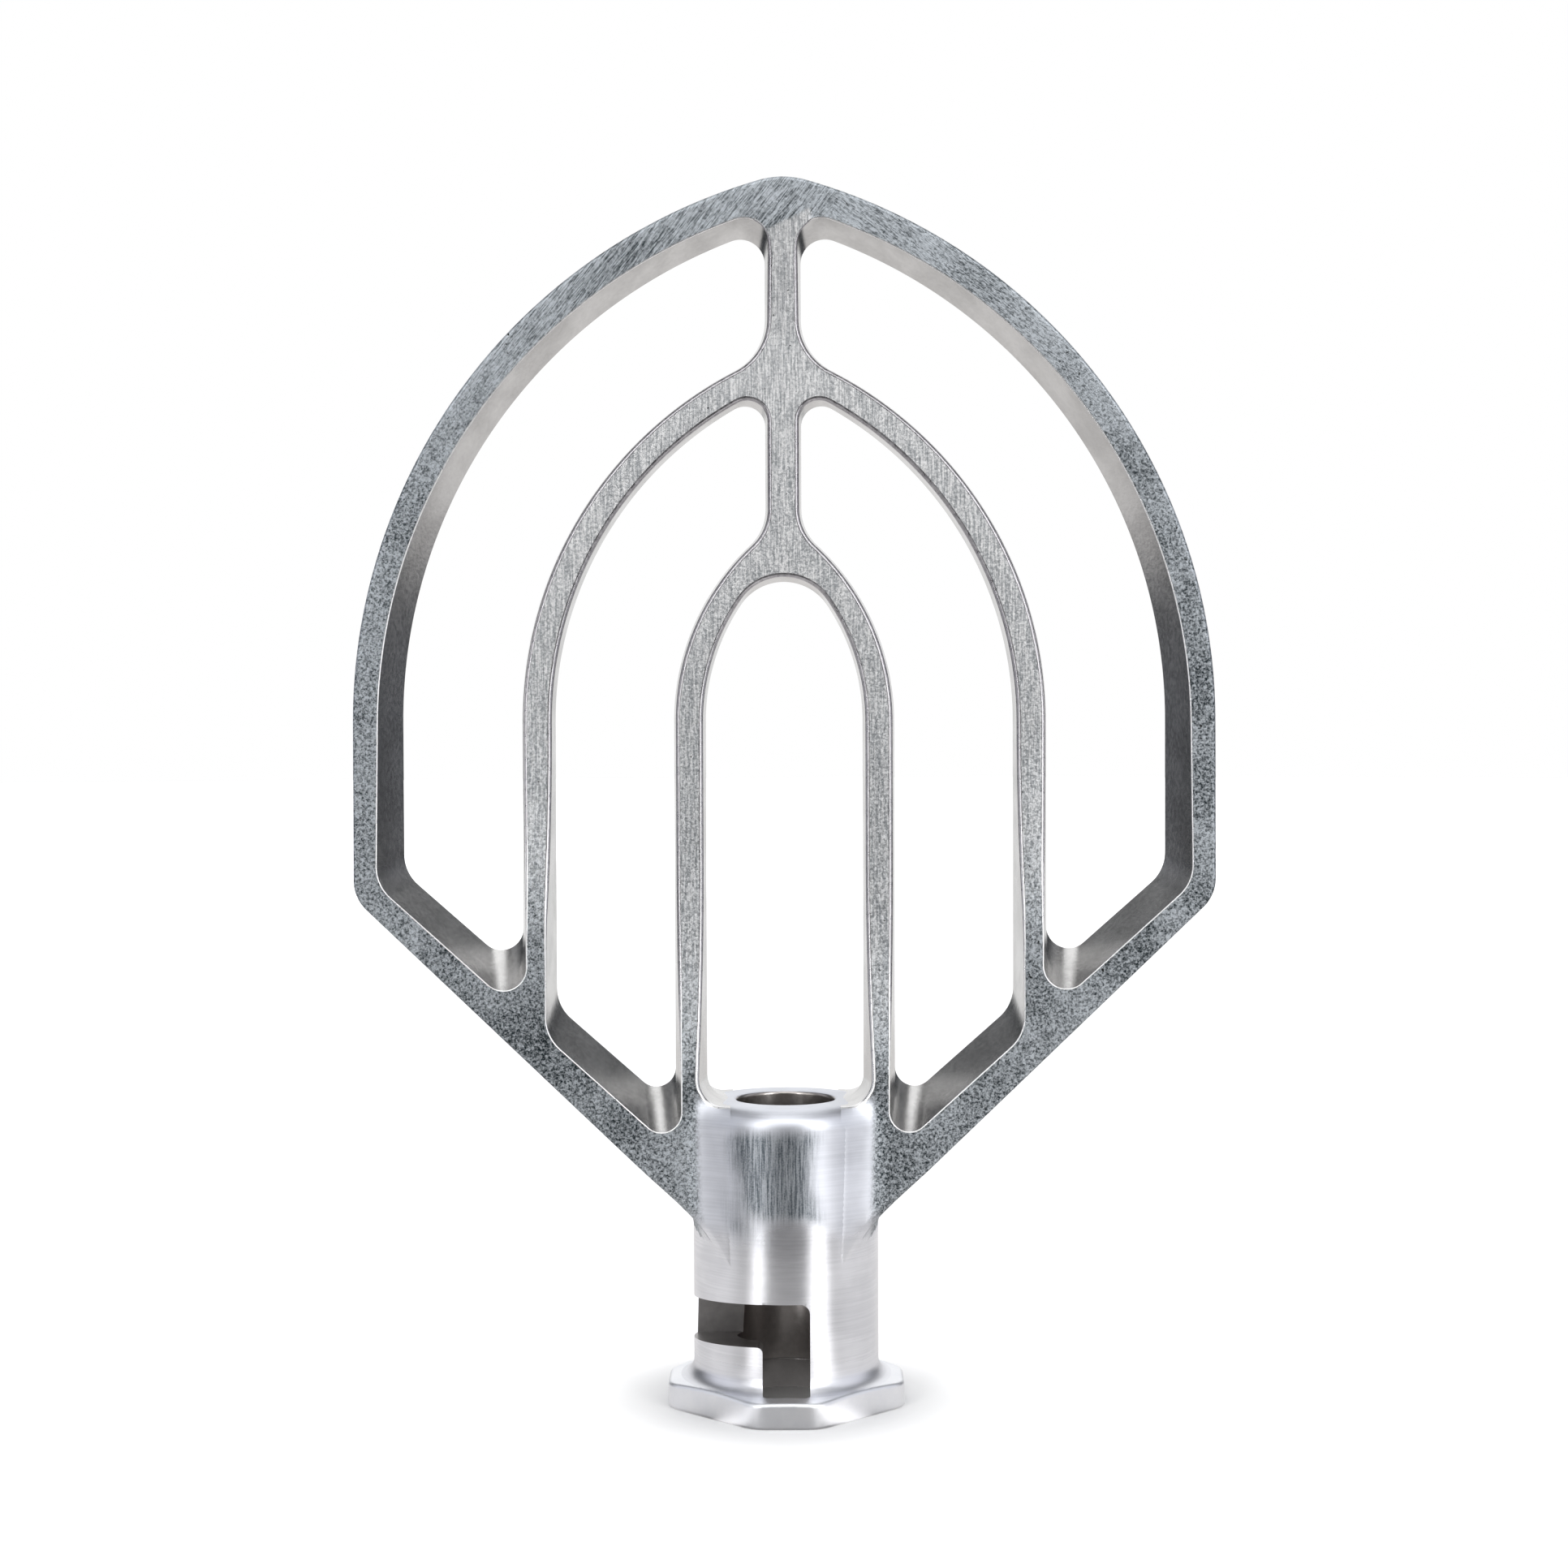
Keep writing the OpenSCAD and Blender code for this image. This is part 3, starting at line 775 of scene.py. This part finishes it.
# ---------------------------------------------------------------- materials
def new_material(name):
    mat = bpy.data.materials.new(name)
    mat.use_nodes = True
    nodes, links = mat.node_tree.nodes, mat.node_tree.links
    nodes.clear()
    out = nodes.new("ShaderNodeOutputMaterial")
    bsdf = nodes.new("ShaderNodeBsdfPrincipled")
    bsdf.inputs["Metallic"].default_value = 1.0
    links.new(bsdf.outputs[0], out.inputs[0])
    coord = nodes.new("ShaderNodeTexCoord").outputs["Object"]
    return mat, nodes, links, bsdf, coord


class Nodes:
    """Short ways to make the nodes that the metals share."""

    def __init__(self, name):
        self.mat, self.nodes, self.links, self.bsdf, self.coord = new_material(name)

    def link(self, value, socket):
        if isinstance(value, bpy.types.NodeSocket):
            self.links.new(value, socket)
        else:
            socket.default_value = value

    def grain(self, size, rotation=(0, 0, 0)):
        """Coordinates turned and then measured in grains of the given size."""
        m = self.nodes.new("ShaderNodeMapping")
        m.vector_type = "TEXTURE"
        m.inputs["Scale"].default_value = size
        m.inputs["Rotation"].default_value = [math.radians(a) for a in rotation]
        self.links.new(self.coord, m.inputs["Vector"])
        return m.outputs[0]

    def noise(self, vector, scale, detail=3.0, rough=0.55, distortion=0.0):
        n = self.nodes.new("ShaderNodeTexNoise")
        self.links.new(vector, n.inputs["Vector"])
        n.inputs["Scale"].default_value = scale
        n.inputs["Detail"].default_value = detail
        n.inputs["Roughness"].default_value = rough
        n.inputs["Distortion"].default_value = distortion
        return n.outputs["Fac"]

    def remap(self, value, a, b, c=0.0, d=1.0):
        n = self.nodes.new("ShaderNodeMapRange")
        n.interpolation_type = "SMOOTHSTEP"
        self.link(value, n.inputs["Value"])
        for key, v in zip(("From Min", "From Max", "To Min", "To Max"), (a, b, c, d)):
            n.inputs[key].default_value = v
        return n.outputs[0]

    def math(self, op, a, b=0.0):
        n = self.nodes.new("ShaderNodeMath")
        n.operation = op
        self.link(a, n.inputs[0])
        self.link(b, n.inputs[1])
        return n.outputs[0]

    def mix(self, fac, a, b):
        n = self.nodes.new("ShaderNodeMix")
        n.data_type = "RGBA"
        self.link(fac, n.inputs["Factor"])
        self.link(a, n.inputs["A"])
        self.link(b, n.inputs["B"])
        return n.outputs["Result"]

    def blend(self, fac, a, b):
        n = self.nodes.new("ShaderNodeMix")
        n.data_type = "FLOAT"
        for key, value in (("Factor", fac), ("A", a), ("B", b)):
            self.link(value, n.inputs[key])
        return n.outputs["Result"]

    def attribute(self, name):
        n = self.nodes.new("ShaderNodeAttribute")
        n.attribute_name = name
        return n.outputs["Fac"]

    def xyz(self):
        n = self.nodes.new("ShaderNodeSeparateXYZ")
        self.links.new(self.coord, n.inputs[0])
        return n.outputs

    def bump(self, height, strength, distance):
        n = self.nodes.new("ShaderNodeBump")
        n.inputs["Strength"].default_value = strength
        n.inputs["Distance"].default_value = distance
        self.link(height, n.inputs["Height"])
        return n.outputs[0]

    def finish(self, colour, rough, normal=None):
        self.link(colour, self.bsdf.inputs["Base Color"])
        self.link(rough, self.bsdf.inputs["Roughness"])
        if normal:
            self.links.new(normal, self.bsdf.inputs["Normal"])
        return self.mat


def skin_metal():
    """Skin of blade and barrel.

    The attribute "blade" is 1 on the blade's faces and 0 on the barrel, and "finish" is 1 where a face is
    sanded and 0 where it is bright. The blade is mottled and specked, with slanted sanding lines near the
    top. The barrel is rubbed up and down above and turned smooth below. Above, its middle is painted dark
    and its sides pale: a painted reflection of a dark room in front and pale panels to the sides.
    """
    k = Nodes("cast_aluminium")
    x, _, z = k.xyz()
    blade, finish = k.attribute("blade"), k.attribute("finish")
    fine = k.noise(k.coord, 2600, 2, 0.6)
    medium = k.noise(k.coord, 1400, 3, 0.7, 0.3)
    cloud = k.noise(k.coord, 60, 3, 0.5)
    specks = k.remap(k.noise(k.coord, 800, 2, 0.5), 0.70, 0.76)
    rising = k.noise(k.grain((0.0002, 0.003, 0.003), (0, 38, 0)), 1, 2, 0.6)
    falling = k.noise(k.grain((0.00022, 0.003, 0.0014), (0, -52, 0)), 1, 2, 0.6)
    upright = k.noise(k.grain((0.0004, 0.004, 0.006)), 1, 3, 0.65)
    lines = k.blend(k.remap(x, 0.008, 0.016), rising, falling)
    high = k.remap(z, 0.205, 0.275)
    mottle = k.math("ADD", k.remap(fine, 0.3, 0.7, -0.5, 0.5), k.remap(medium, 0.3, 0.7, -0.9, 0.9))
    mottle = k.math("MULTIPLY", mottle, k.math("SUBTRACT", 1.0, k.math("MULTIPLY", high, 0.55)))
    sanding = k.math("MULTIPLY", k.remap(lines, 0.32, 0.68, -0.45, 1.05), high)
    tone = k.math("ADD", k.math("ADD", mottle, sanding), k.remap(cloud, 0.3, 0.7, -0.3, 0.3))
    plain = k.math("ADD", k.math("MULTIPLY", mottle, 0.8), k.remap(upright, 0.3, 0.7, -0.8, 0.8))
    sanded = k.mix(k.remap(tone, -1.4, 1.4), (0.02, 0.03, 0.035, 1), (0.61, 0.65, 0.69, 1))
    bright = k.mix(k.remap(plain, -1.3, 1.3), (0.40, 0.42, 0.44, 1), (1.0, 1.0, 1.0, 1))
    face = k.mix(finish, bright, sanded)
    face = k.mix(specks, face, (0.03, 0.03, 0.03, 1))

    wave = k.noise(k.coord, 55, 2, 0.5)
    upper = k.remap(k.math("ADD", z, k.remap(wave, 0.3, 0.7, -0.003, 0.003)), 0.041, 0.050)
    brushed = k.noise(k.grain((0.00045, 0.00045, 0.009)), 1, 4, 0.7)
    turned = k.noise(k.grain((0.02, 0.02, 0.0005)), 1, 3, 0.6)
    rubbed = k.math("ADD", k.remap(brushed, 0.32, 0.68, -0.7, 0.7), k.remap(fine, 0.3, 0.7, -0.25, 0.25))
    smooth_tone = k.math("ADD", k.remap(turned, 0.3, 0.7, -0.15, 0.15), k.remap(cloud, 0.3, 0.7, -0.3, 0.3))
    # painted reflection: above, the barrel's middle is painted dark for the dark room it faces in front; the
    # rubbed lines in it are real
    above = k.mix(k.remap(rubbed, -0.95, 0.95), (0.10, 0.12, 0.14, 1), (0.50, 0.53, 0.57, 1))
    below = k.mix(k.remap(smooth_tone, -0.5, 0.5), (0.74, 0.75, 0.79, 1), (0.90, 0.91, 0.95, 1))
    # where the painted dark middle lies: a little left of the centre line, stopping short of the shoulder so
    # the shoulder stays bright
    dark_middle_offset = k.math("ADD", k.math("ADD", x, 0.0025), k.remap(wave, 0.3, 0.7, -0.002, 0.002))
    dark_middle_offset = k.math("ABSOLUTE", dark_middle_offset)
    centre = k.math("MULTIPLY", upper, k.remap(dark_middle_offset, 0.007, 0.0135, 1.0, 0.0))
    centre = k.math("MULTIPLY", centre, k.remap(z, 0.0675, 0.0715, 1.0, 0.0))
    # painted reflection: the sides of the barrel's upper part are pale, for the pale panels to either side
    beside = k.mix(k.remap(smooth_tone, -0.5, 0.5), (0.64, 0.66, 0.71, 1), (0.80, 0.82, 0.88, 1))
    hub = k.mix(upper, below, k.mix(centre, beside, above))

    face_rough = k.remap(medium, 0.3, 0.7, 0.44, 0.60)
    hub_rough = k.math("ADD", k.remap(upper, 0, 1, 0.22, 0.42), k.remap(cloud, 0.3, 0.7, -0.02, 0.04))
    hub_rough = k.math("ADD", hub_rough, k.remap(z, 0.009, 0.015, 0.14, 0.0))
    face_height = k.math("ADD", k.math("MULTIPLY", medium, 0.06), k.math("MULTIPLY", fine, 0.018))
    hub_height = k.math("MULTIPLY", brushed, k.math("MULTIPLY", centre, 0.014))
    hub_height = k.math("ADD", hub_height, k.math("MULTIPLY", cloud, 0.16))
    normal = k.bump(k.blend(blade, hub_height, face_height), 1.0, 0.001)
    return k.finish(k.mix(blade, hub, face), k.blend(blade, hub_rough, face_rough), normal)


def wall_metal(name, dark, light, rough):
    k = Nodes(name)
    fine = k.noise(k.coord, 900, 3, 0.6)
    cloud = k.noise(k.coord, 90, 3, 0.5)
    tone = k.math("ADD", k.remap(fine, 0.3, 0.7, 0.15, 0.3), k.remap(cloud, 0.3, 0.7, 0, 0.5))
    colour = k.mix(tone, dark, light)
    normal = k.bump(fine, 0.2, 0.00015)
    return k.finish(colour, k.remap(fine, 0.3, 0.7, rough, rough + 0.04), normal)


def edge_metal():
    """Rounded edges: near white on the sanded rim, a painted highlight for the thin line of light the edge
    catches, darker on the ribs.
    """
    k = Nodes("edge_painted_highlight")
    fine = k.noise(k.coord, 900, 3, 0.6)
    tone = k.remap(fine, 0.3, 0.7)
    ribs = k.mix(tone, (0.36, 0.35, 0.37, 1), (0.52, 0.51, 0.53, 1))
    # painted highlight: the rim's edges are near white, for the line of light along them
    rim = k.mix(tone, (0.90, 0.90, 0.91, 1), (1.0, 1.0, 1.0, 1))
    colour = k.mix(k.attribute("finish"), ribs, rim)
    return k.finish(colour, k.remap(fine, 0.3, 0.7, 0.26, 0.38), k.bump(fine, 0.2, 0.00015))


# ---------------------------------------------------------------- the pieces
SLOTS = {"hub_barrel": "hub", "hub_flange": "hub"}
for node_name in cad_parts:
    if node_name.startswith(("arm", "side", "bow", "crown")):
        SLOTS[node_name] = "rim"
    elif node_name not in SLOTS:
        SLOTS[node_name] = "ribs"

M_SKIN = skin_metal()
M_WALL = wall_metal("cast_wall", (0.50, 0.495, 0.49, 1), (0.78, 0.775, 0.77, 1), 0.22)
M_EDGE = edge_metal()
# painted shade: the bore, the slot's walls and the flange's hole are darker than the outside, for the shade
# inside these recesses
M_BORE = wall_metal("bore", (0.34, 0.32, 0.31, 1), (0.58, 0.55, 0.53, 1), 0.28)
M_SLOT = wall_metal("slot_wall", (0.30, 0.29, 0.29, 1), (0.48, 0.465, 0.46, 1), 0.33)
M_FLANGE = wall_metal("flange_aluminium", (0.84, 0.86, 0.91, 1), (0.97, 0.98, 1.0, 1), 0.40)


def finish_of(p):
    """How strongly a face is sanded: fully on the rim and arms, less up the ribs, not on the spine."""
    x, z = np.abs(p[:, 0]), p[:, 1]
    rim = beyond(x, z, *RIM_FROM)
    rib = np.where(x > MIDDLE_FROM[0], smooth(150, 108, z), smooth(120, 74, z))
    rib = rib * 0.75 + 0.25 * smooth(220, 140, z)
    f = np.where(rim, 1.0, rib)
    return np.where((x < CROWN_W) & (z > 240), np.where(z > crown_line(p[:, 0]) - 0.05, 1.0, 0.0), f)


def blade_of(p):
    """Nothing on the roundings into the barrel, which share its finish, and full from there outwards."""
    x, z = np.abs(p[:, 0]), p[:, 1]
    edge = np.sqrt((HUB_R + HUB_BLEND) ** 2 - (wedge(z) + HUB_BLEND) ** 2)
    beside = smooth(-1.2, 0.8, x - edge)
    above = smooth(HUB_TOP - 1, HUB_TOP + 4, z)
    return np.maximum(beside, above)


def give(obj, node, materials):
    for m in materials:
        obj.data.materials.append(m)
    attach(obj, "root")
    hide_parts(node)


blade = blade_mesh()
groups = split_members(blade)
used = set()
for group in groups:
    co = np.array([v.co for v in group])
    lo, hi = co.min(0), co.max(0)
    if abs(lo[0] + hi[0]) < 1 and hi[2] < 80 and hi[0] < 20:
        continue
    best = min((n for n in CAD_BOXES if n not in ("hub_barrel", "hub_flange")),
               key=lambda n: np.abs(CAD_BOXES[n][0] - lo).sum() + np.abs(CAD_BOXES[n][1] - hi).sum())
    if best in used:
        raise RuntimeError(f"two members for {best}: {lo} {hi}")
    used.add(best)
    piece = member_object(best + "_casting", group)
    co = np.array([v.co for v in piece.data.vertices]) / MM
    for layer_name, values in (("finish", finish_of(co[:, [0, 2]])), ("blade", blade_of(co[:, [0, 2]]))):
        layer = piece.data.attributes.new(layer_name, "FLOAT", "POINT")
        layer.data.foreach_set("value", values.astype(np.float32))
    give(piece, best, [M_SKIN, M_WALL, M_WALL, M_EDGE])
missing = set(CAD_BOXES) - used - {"hub_barrel", "hub_flange"}
if missing:
    raise RuntimeError(f"no member for {sorted(missing)}")
blade.free()
give(barrel_object(), "hub_barrel", [M_SKIN, M_BORE, M_SLOT])
give(flange_object(), "hub_flange", [M_FLANGE, M_FLANGE, M_SLOT, M_FLANGE])

# ---------------------------------------------------------------- camera, floor and light
scene = bpy.context.scene
camera = bpy.data.objects.new("camera", bpy.data.cameras.new("camera"))
scene.collection.objects.link(camera)
camera.data.lens, camera.data.sensor_width = 61.5, 36
camera.data.clip_start = 0.01
camera.matrix_world = Matrix.Translation((-0.0001, -0.660, 0.171)) @ \
    Matrix.Rotation(math.radians(90 - 1.6), 4, "X") @ Matrix.Rotation(math.radians(-0.2), 4, "Z")
scene.camera = camera

floor_bm = bmesh.new()
bmesh.ops.create_circle(floor_bm, cap_ends=True, radius=6, segments=64)
floor = temporary("floor", floor_bm)
floor_mat = bpy.data.materials.new("pale_floor")
floor_mat.use_nodes = True
fn, fl = floor_mat.node_tree.nodes, floor_mat.node_tree.links
fn.clear()
floor_out, floor_mix = fn.new("ShaderNodeOutputMaterial"), fn.new("ShaderNodeMixShader")
floor_path, place = fn.new("ShaderNodeLightPath"), fn.new("ShaderNodeTexCoord")
span = fn.new("ShaderNodeVectorMath")
span.operation = "LENGTH"
fl.new(place.outputs["Object"], span.inputs[0])
card_span = fn.new("ShaderNodeVectorMath")
card_span.operation = "DISTANCE"
card_span.inputs[1].default_value = (0, 0.25, 0)
fl.new(place.outputs["Object"], card_span.inputs[0])
fl.new(floor_path.outputs["Is Camera Ray"], floor_mix.inputs[0])
fl.new(floor_mix.outputs[0], floor_out.inputs[0])


def floor_node(kind, values, links=()):
    n = fn.new(kind)
    for key, value in values.items():
        n.inputs[key].default_value = value
    for source, socket in links:
        fl.new(source, n.inputs[socket])
    return n


def floor_range(low, high, start, end, value=span.outputs["Value"]):
    keys = ("From Min", "From Max", "To Min", "To Max")
    settings = dict(zip(keys, (low, high, start, end)))
    return floor_node("ShaderNodeMapRange", settings, [(value, "Value")]).outputs[0]


def floor_product(a, b):
    n = fn.new("ShaderNodeMath")
    n.operation = "MULTIPLY"
    fl.new(a, n.inputs[0])
    fl.new(b, n.inputs[1])
    return n.outputs[0]


# as it is seen: pale, with a painted contact shadow where its glow fades out near the object, and white far
# away
seen_glow = floor_product(floor_range(0.3, 2.5, 0.45, 0.95), floor_range(0.027, 0.05, 0.0, 1.0))
seen_look = {"Base Color": (0.85, 0.85, 0.85, 1), "Roughness": 0.8, "Emission Color": (1, 1, 1, 1)}
seen = floor_node("ShaderNodeBsdfPrincipled", seen_look, [(seen_glow, "Emission Strength")])
# as a reflection: a small pale card with two bright bars on it, and nothing beyond
sides = floor_node("ShaderNodeSeparateXYZ", {}, [(place.outputs["Object"], 0)])
bearing = fn.new("ShaderNodeMath")
bearing.operation = "ARCTAN2"
flip = fn.new("ShaderNodeMath")
flip.operation = "MULTIPLY"
flip.inputs[1].default_value = -1.0
fl.new(sides.outputs[1], flip.inputs[0])
fl.new(sides.outputs[0], bearing.inputs[0])
fl.new(flip.outputs[0], bearing.inputs[1])
round_card = floor_range(-math.pi, math.pi, 0.0, 1.0, bearing.outputs[0])
bars = floor_node("ShaderNodeValToRGB", {}, [(round_card, 0)])
turns = ((-180, 0.85), (-110, 0.75), (-70, 0.75), (-45, 0.45), (-37, 1.4), (-30, 1.4), (-22, 0.38),
         (22, 0.38), (34, 1.7), (43, 1.7), (54, 0.60), (75, 0.75), (110, 0.75), (180, 0.85))
stops = [(angle / 360 + 0.5, light) for angle, light in turns]
while len(bars.color_ramp.elements) < len(stops):
    bars.color_ramp.elements.new(0.5)
for element, (where, light) in zip(bars.color_ramp.elements, stops):
    element.position = where
    element.color = (light, light * 0.98, light * 0.97, 1)
# painted shade: the card's glow dims under and near the object
shade = floor_range(0.022, 0.032, 0.3, 1.0)
card = floor_node("ShaderNodeEmission", {}, [(bars.outputs[0], "Color"), (shade, "Strength")])
nothing = fn.new("ShaderNodeBsdfTransparent")
reflected = fn.new("ShaderNodeMixShader")
fl.new(floor_range(0.45, 0.68, 0.0, 1.0, card_span.outputs["Value"]), reflected.inputs[0])
fl.new(card.outputs[0], reflected.inputs[1])
fl.new(nothing.outputs[0], reflected.inputs[2])
fl.new(reflected.outputs[0], floor_mix.inputs[1])
fl.new(seen.outputs[0], floor_mix.inputs[2])
floor.data.materials.append(floor_mat)


def softbox(name, azimuth, elevation, distance, width, height, power, target=(0, 0, 0.15)):
    """Area light seen from the object at an azimuth from the front, positive to the right."""
    light = bpy.data.lights.new(name, "AREA")
    light.shape, light.size, light.size_y, light.energy = "RECTANGLE", width, height, power
    obj = bpy.data.objects.new(name, light)
    scene.collection.objects.link(obj)
    a, e = math.radians(azimuth), math.radians(elevation)
    way = Vector((math.sin(a) * math.cos(e), -math.cos(a) * math.cos(e), math.sin(e)))
    pos = Vector(target) + distance * way
    obj.location = pos
    obj.rotation_euler = (Vector(target) - pos).to_track_quat("-Z", "Y").to_euler()
    return obj


softbox("left_box", -33, 12, 1.6, 0.30, 1.3, 6)
softbox("right_box", 40, 12, 1.6, 0.42, 1.3, 8.5)
softbox("top_box", 0, 46, 1.6, 2.4, 0.5, 9)

world = bpy.data.worlds.new("studio")
scene.world = world
world.use_nodes = True
wn, wl = world.node_tree.nodes, world.node_tree.links
wn.clear()
w_out = wn.new("ShaderNodeOutputWorld")
w_mix = wn.new("ShaderNodeMixShader")
w_white, w_soft = wn.new("ShaderNodeBackground"), wn.new("ShaderNodeBackground")
w_white.inputs["Color"].default_value = (1, 1, 1, 1)
path, coord = wn.new("ShaderNodeLightPath"), wn.new("ShaderNodeTexCoord")
sep = wn.new("ShaderNodeSeparateXYZ")


def world_math(op, a, b=0.0):
    n = wn.new("ShaderNodeMath")
    n.operation = op
    for value, socket in ((a, n.inputs[0]), (b, n.inputs[1])):
        if isinstance(value, bpy.types.NodeSocket):
            wl.new(value, socket)
        else:
            socket.default_value = value
    return n.outputs[0]


wl.new(coord.outputs["Generated"], sep.inputs[0])
way_x, way_y, way_z = sep.outputs
squares = [world_math("MULTIPLY", way, way) for way in (way_x, way_y)]
flat = world_math("SQRT", world_math("ADD", *squares))
turn = world_math("MULTIPLY_ADD", world_math("DIVIDE", way_y, world_math("MAXIMUM", flat, 0.001)), 0.5)
turn.node.inputs[2].default_value = 0.5
# round the room from the front, 0, to the back, 1: dark room, pale sides, dark corners, white backdrop
ramp = wn.new("ShaderNodeValToRGB")
ramp.color_ramp.interpolation = "EASE"
grey, blue, plain = (1, 1, 1), (0.80, 0.90, 1.05), (0.92, 0.93, 1.0)
stops = ((0.0, 0.07, grey), (0.22, 0.07, grey), (0.34, 0.75, plain), (0.64, 0.75, plain),
         (0.76, 0.035, blue), (0.89, 0.035, blue), (0.955, 1.0, grey), (1.0, 1.0, grey))
while len(ramp.color_ramp.elements) < len(stops):
    ramp.color_ramp.elements.new(0.5)
for element, (where, light, tint) in zip(ramp.color_ramp.elements, stops):
    element.position = where
    element.color = (light * tint[0], light * tint[1], light * tint[2], 1)
wl.new(turn, ramp.inputs[0])


def world_range(value, low, high, start, end):
    n = wn.new("ShaderNodeMapRange")
    for key, number in zip(("From Min", "From Max", "To Min", "To Max"), (low, high, start, end)):
        n.inputs[key].default_value = number
    wl.new(value, n.inputs["Value"])
    return n.outputs[0]


# a strip of light overhead, from front to back, in a dim ceiling
overhead = world_range(way_z, 0.72, 0.90, 0.0, 1.0)
strip = world_range(world_math("ABSOLUTE", way_x), 0.22, 0.40, 1.3, 0.06)
dim = world_range(way_z, 0.15, 0.5, 0.0, 0.10)



def world_mix(factor, a, b, kind="MIX"):
    n = wn.new("ShaderNodeMix")
    n.data_type, n.blend_type = "RGBA", kind
    for value, socket in ((factor, n.inputs[0]), (a, n.inputs[6]), (b, n.inputs[7])):
        if isinstance(value, bpy.types.NodeSocket):
            wl.new(value, socket)
        else:
            socket.default_value = value
    return n.outputs[2]


room = world_mix(1.0, ramp.outputs[0], dim, "ADD")
wl.new(world_mix(overhead, room, strip), w_soft.inputs["Color"])
wl.new(path.outputs["Is Camera Ray"], w_mix.inputs[0])
wl.new(w_soft.outputs[0], w_mix.inputs[1])
wl.new(w_white.outputs[0], w_mix.inputs[2])
wl.new(w_mix.outputs[0], w_out.inputs[0])
scene.view_settings.view_transform = "Standard"
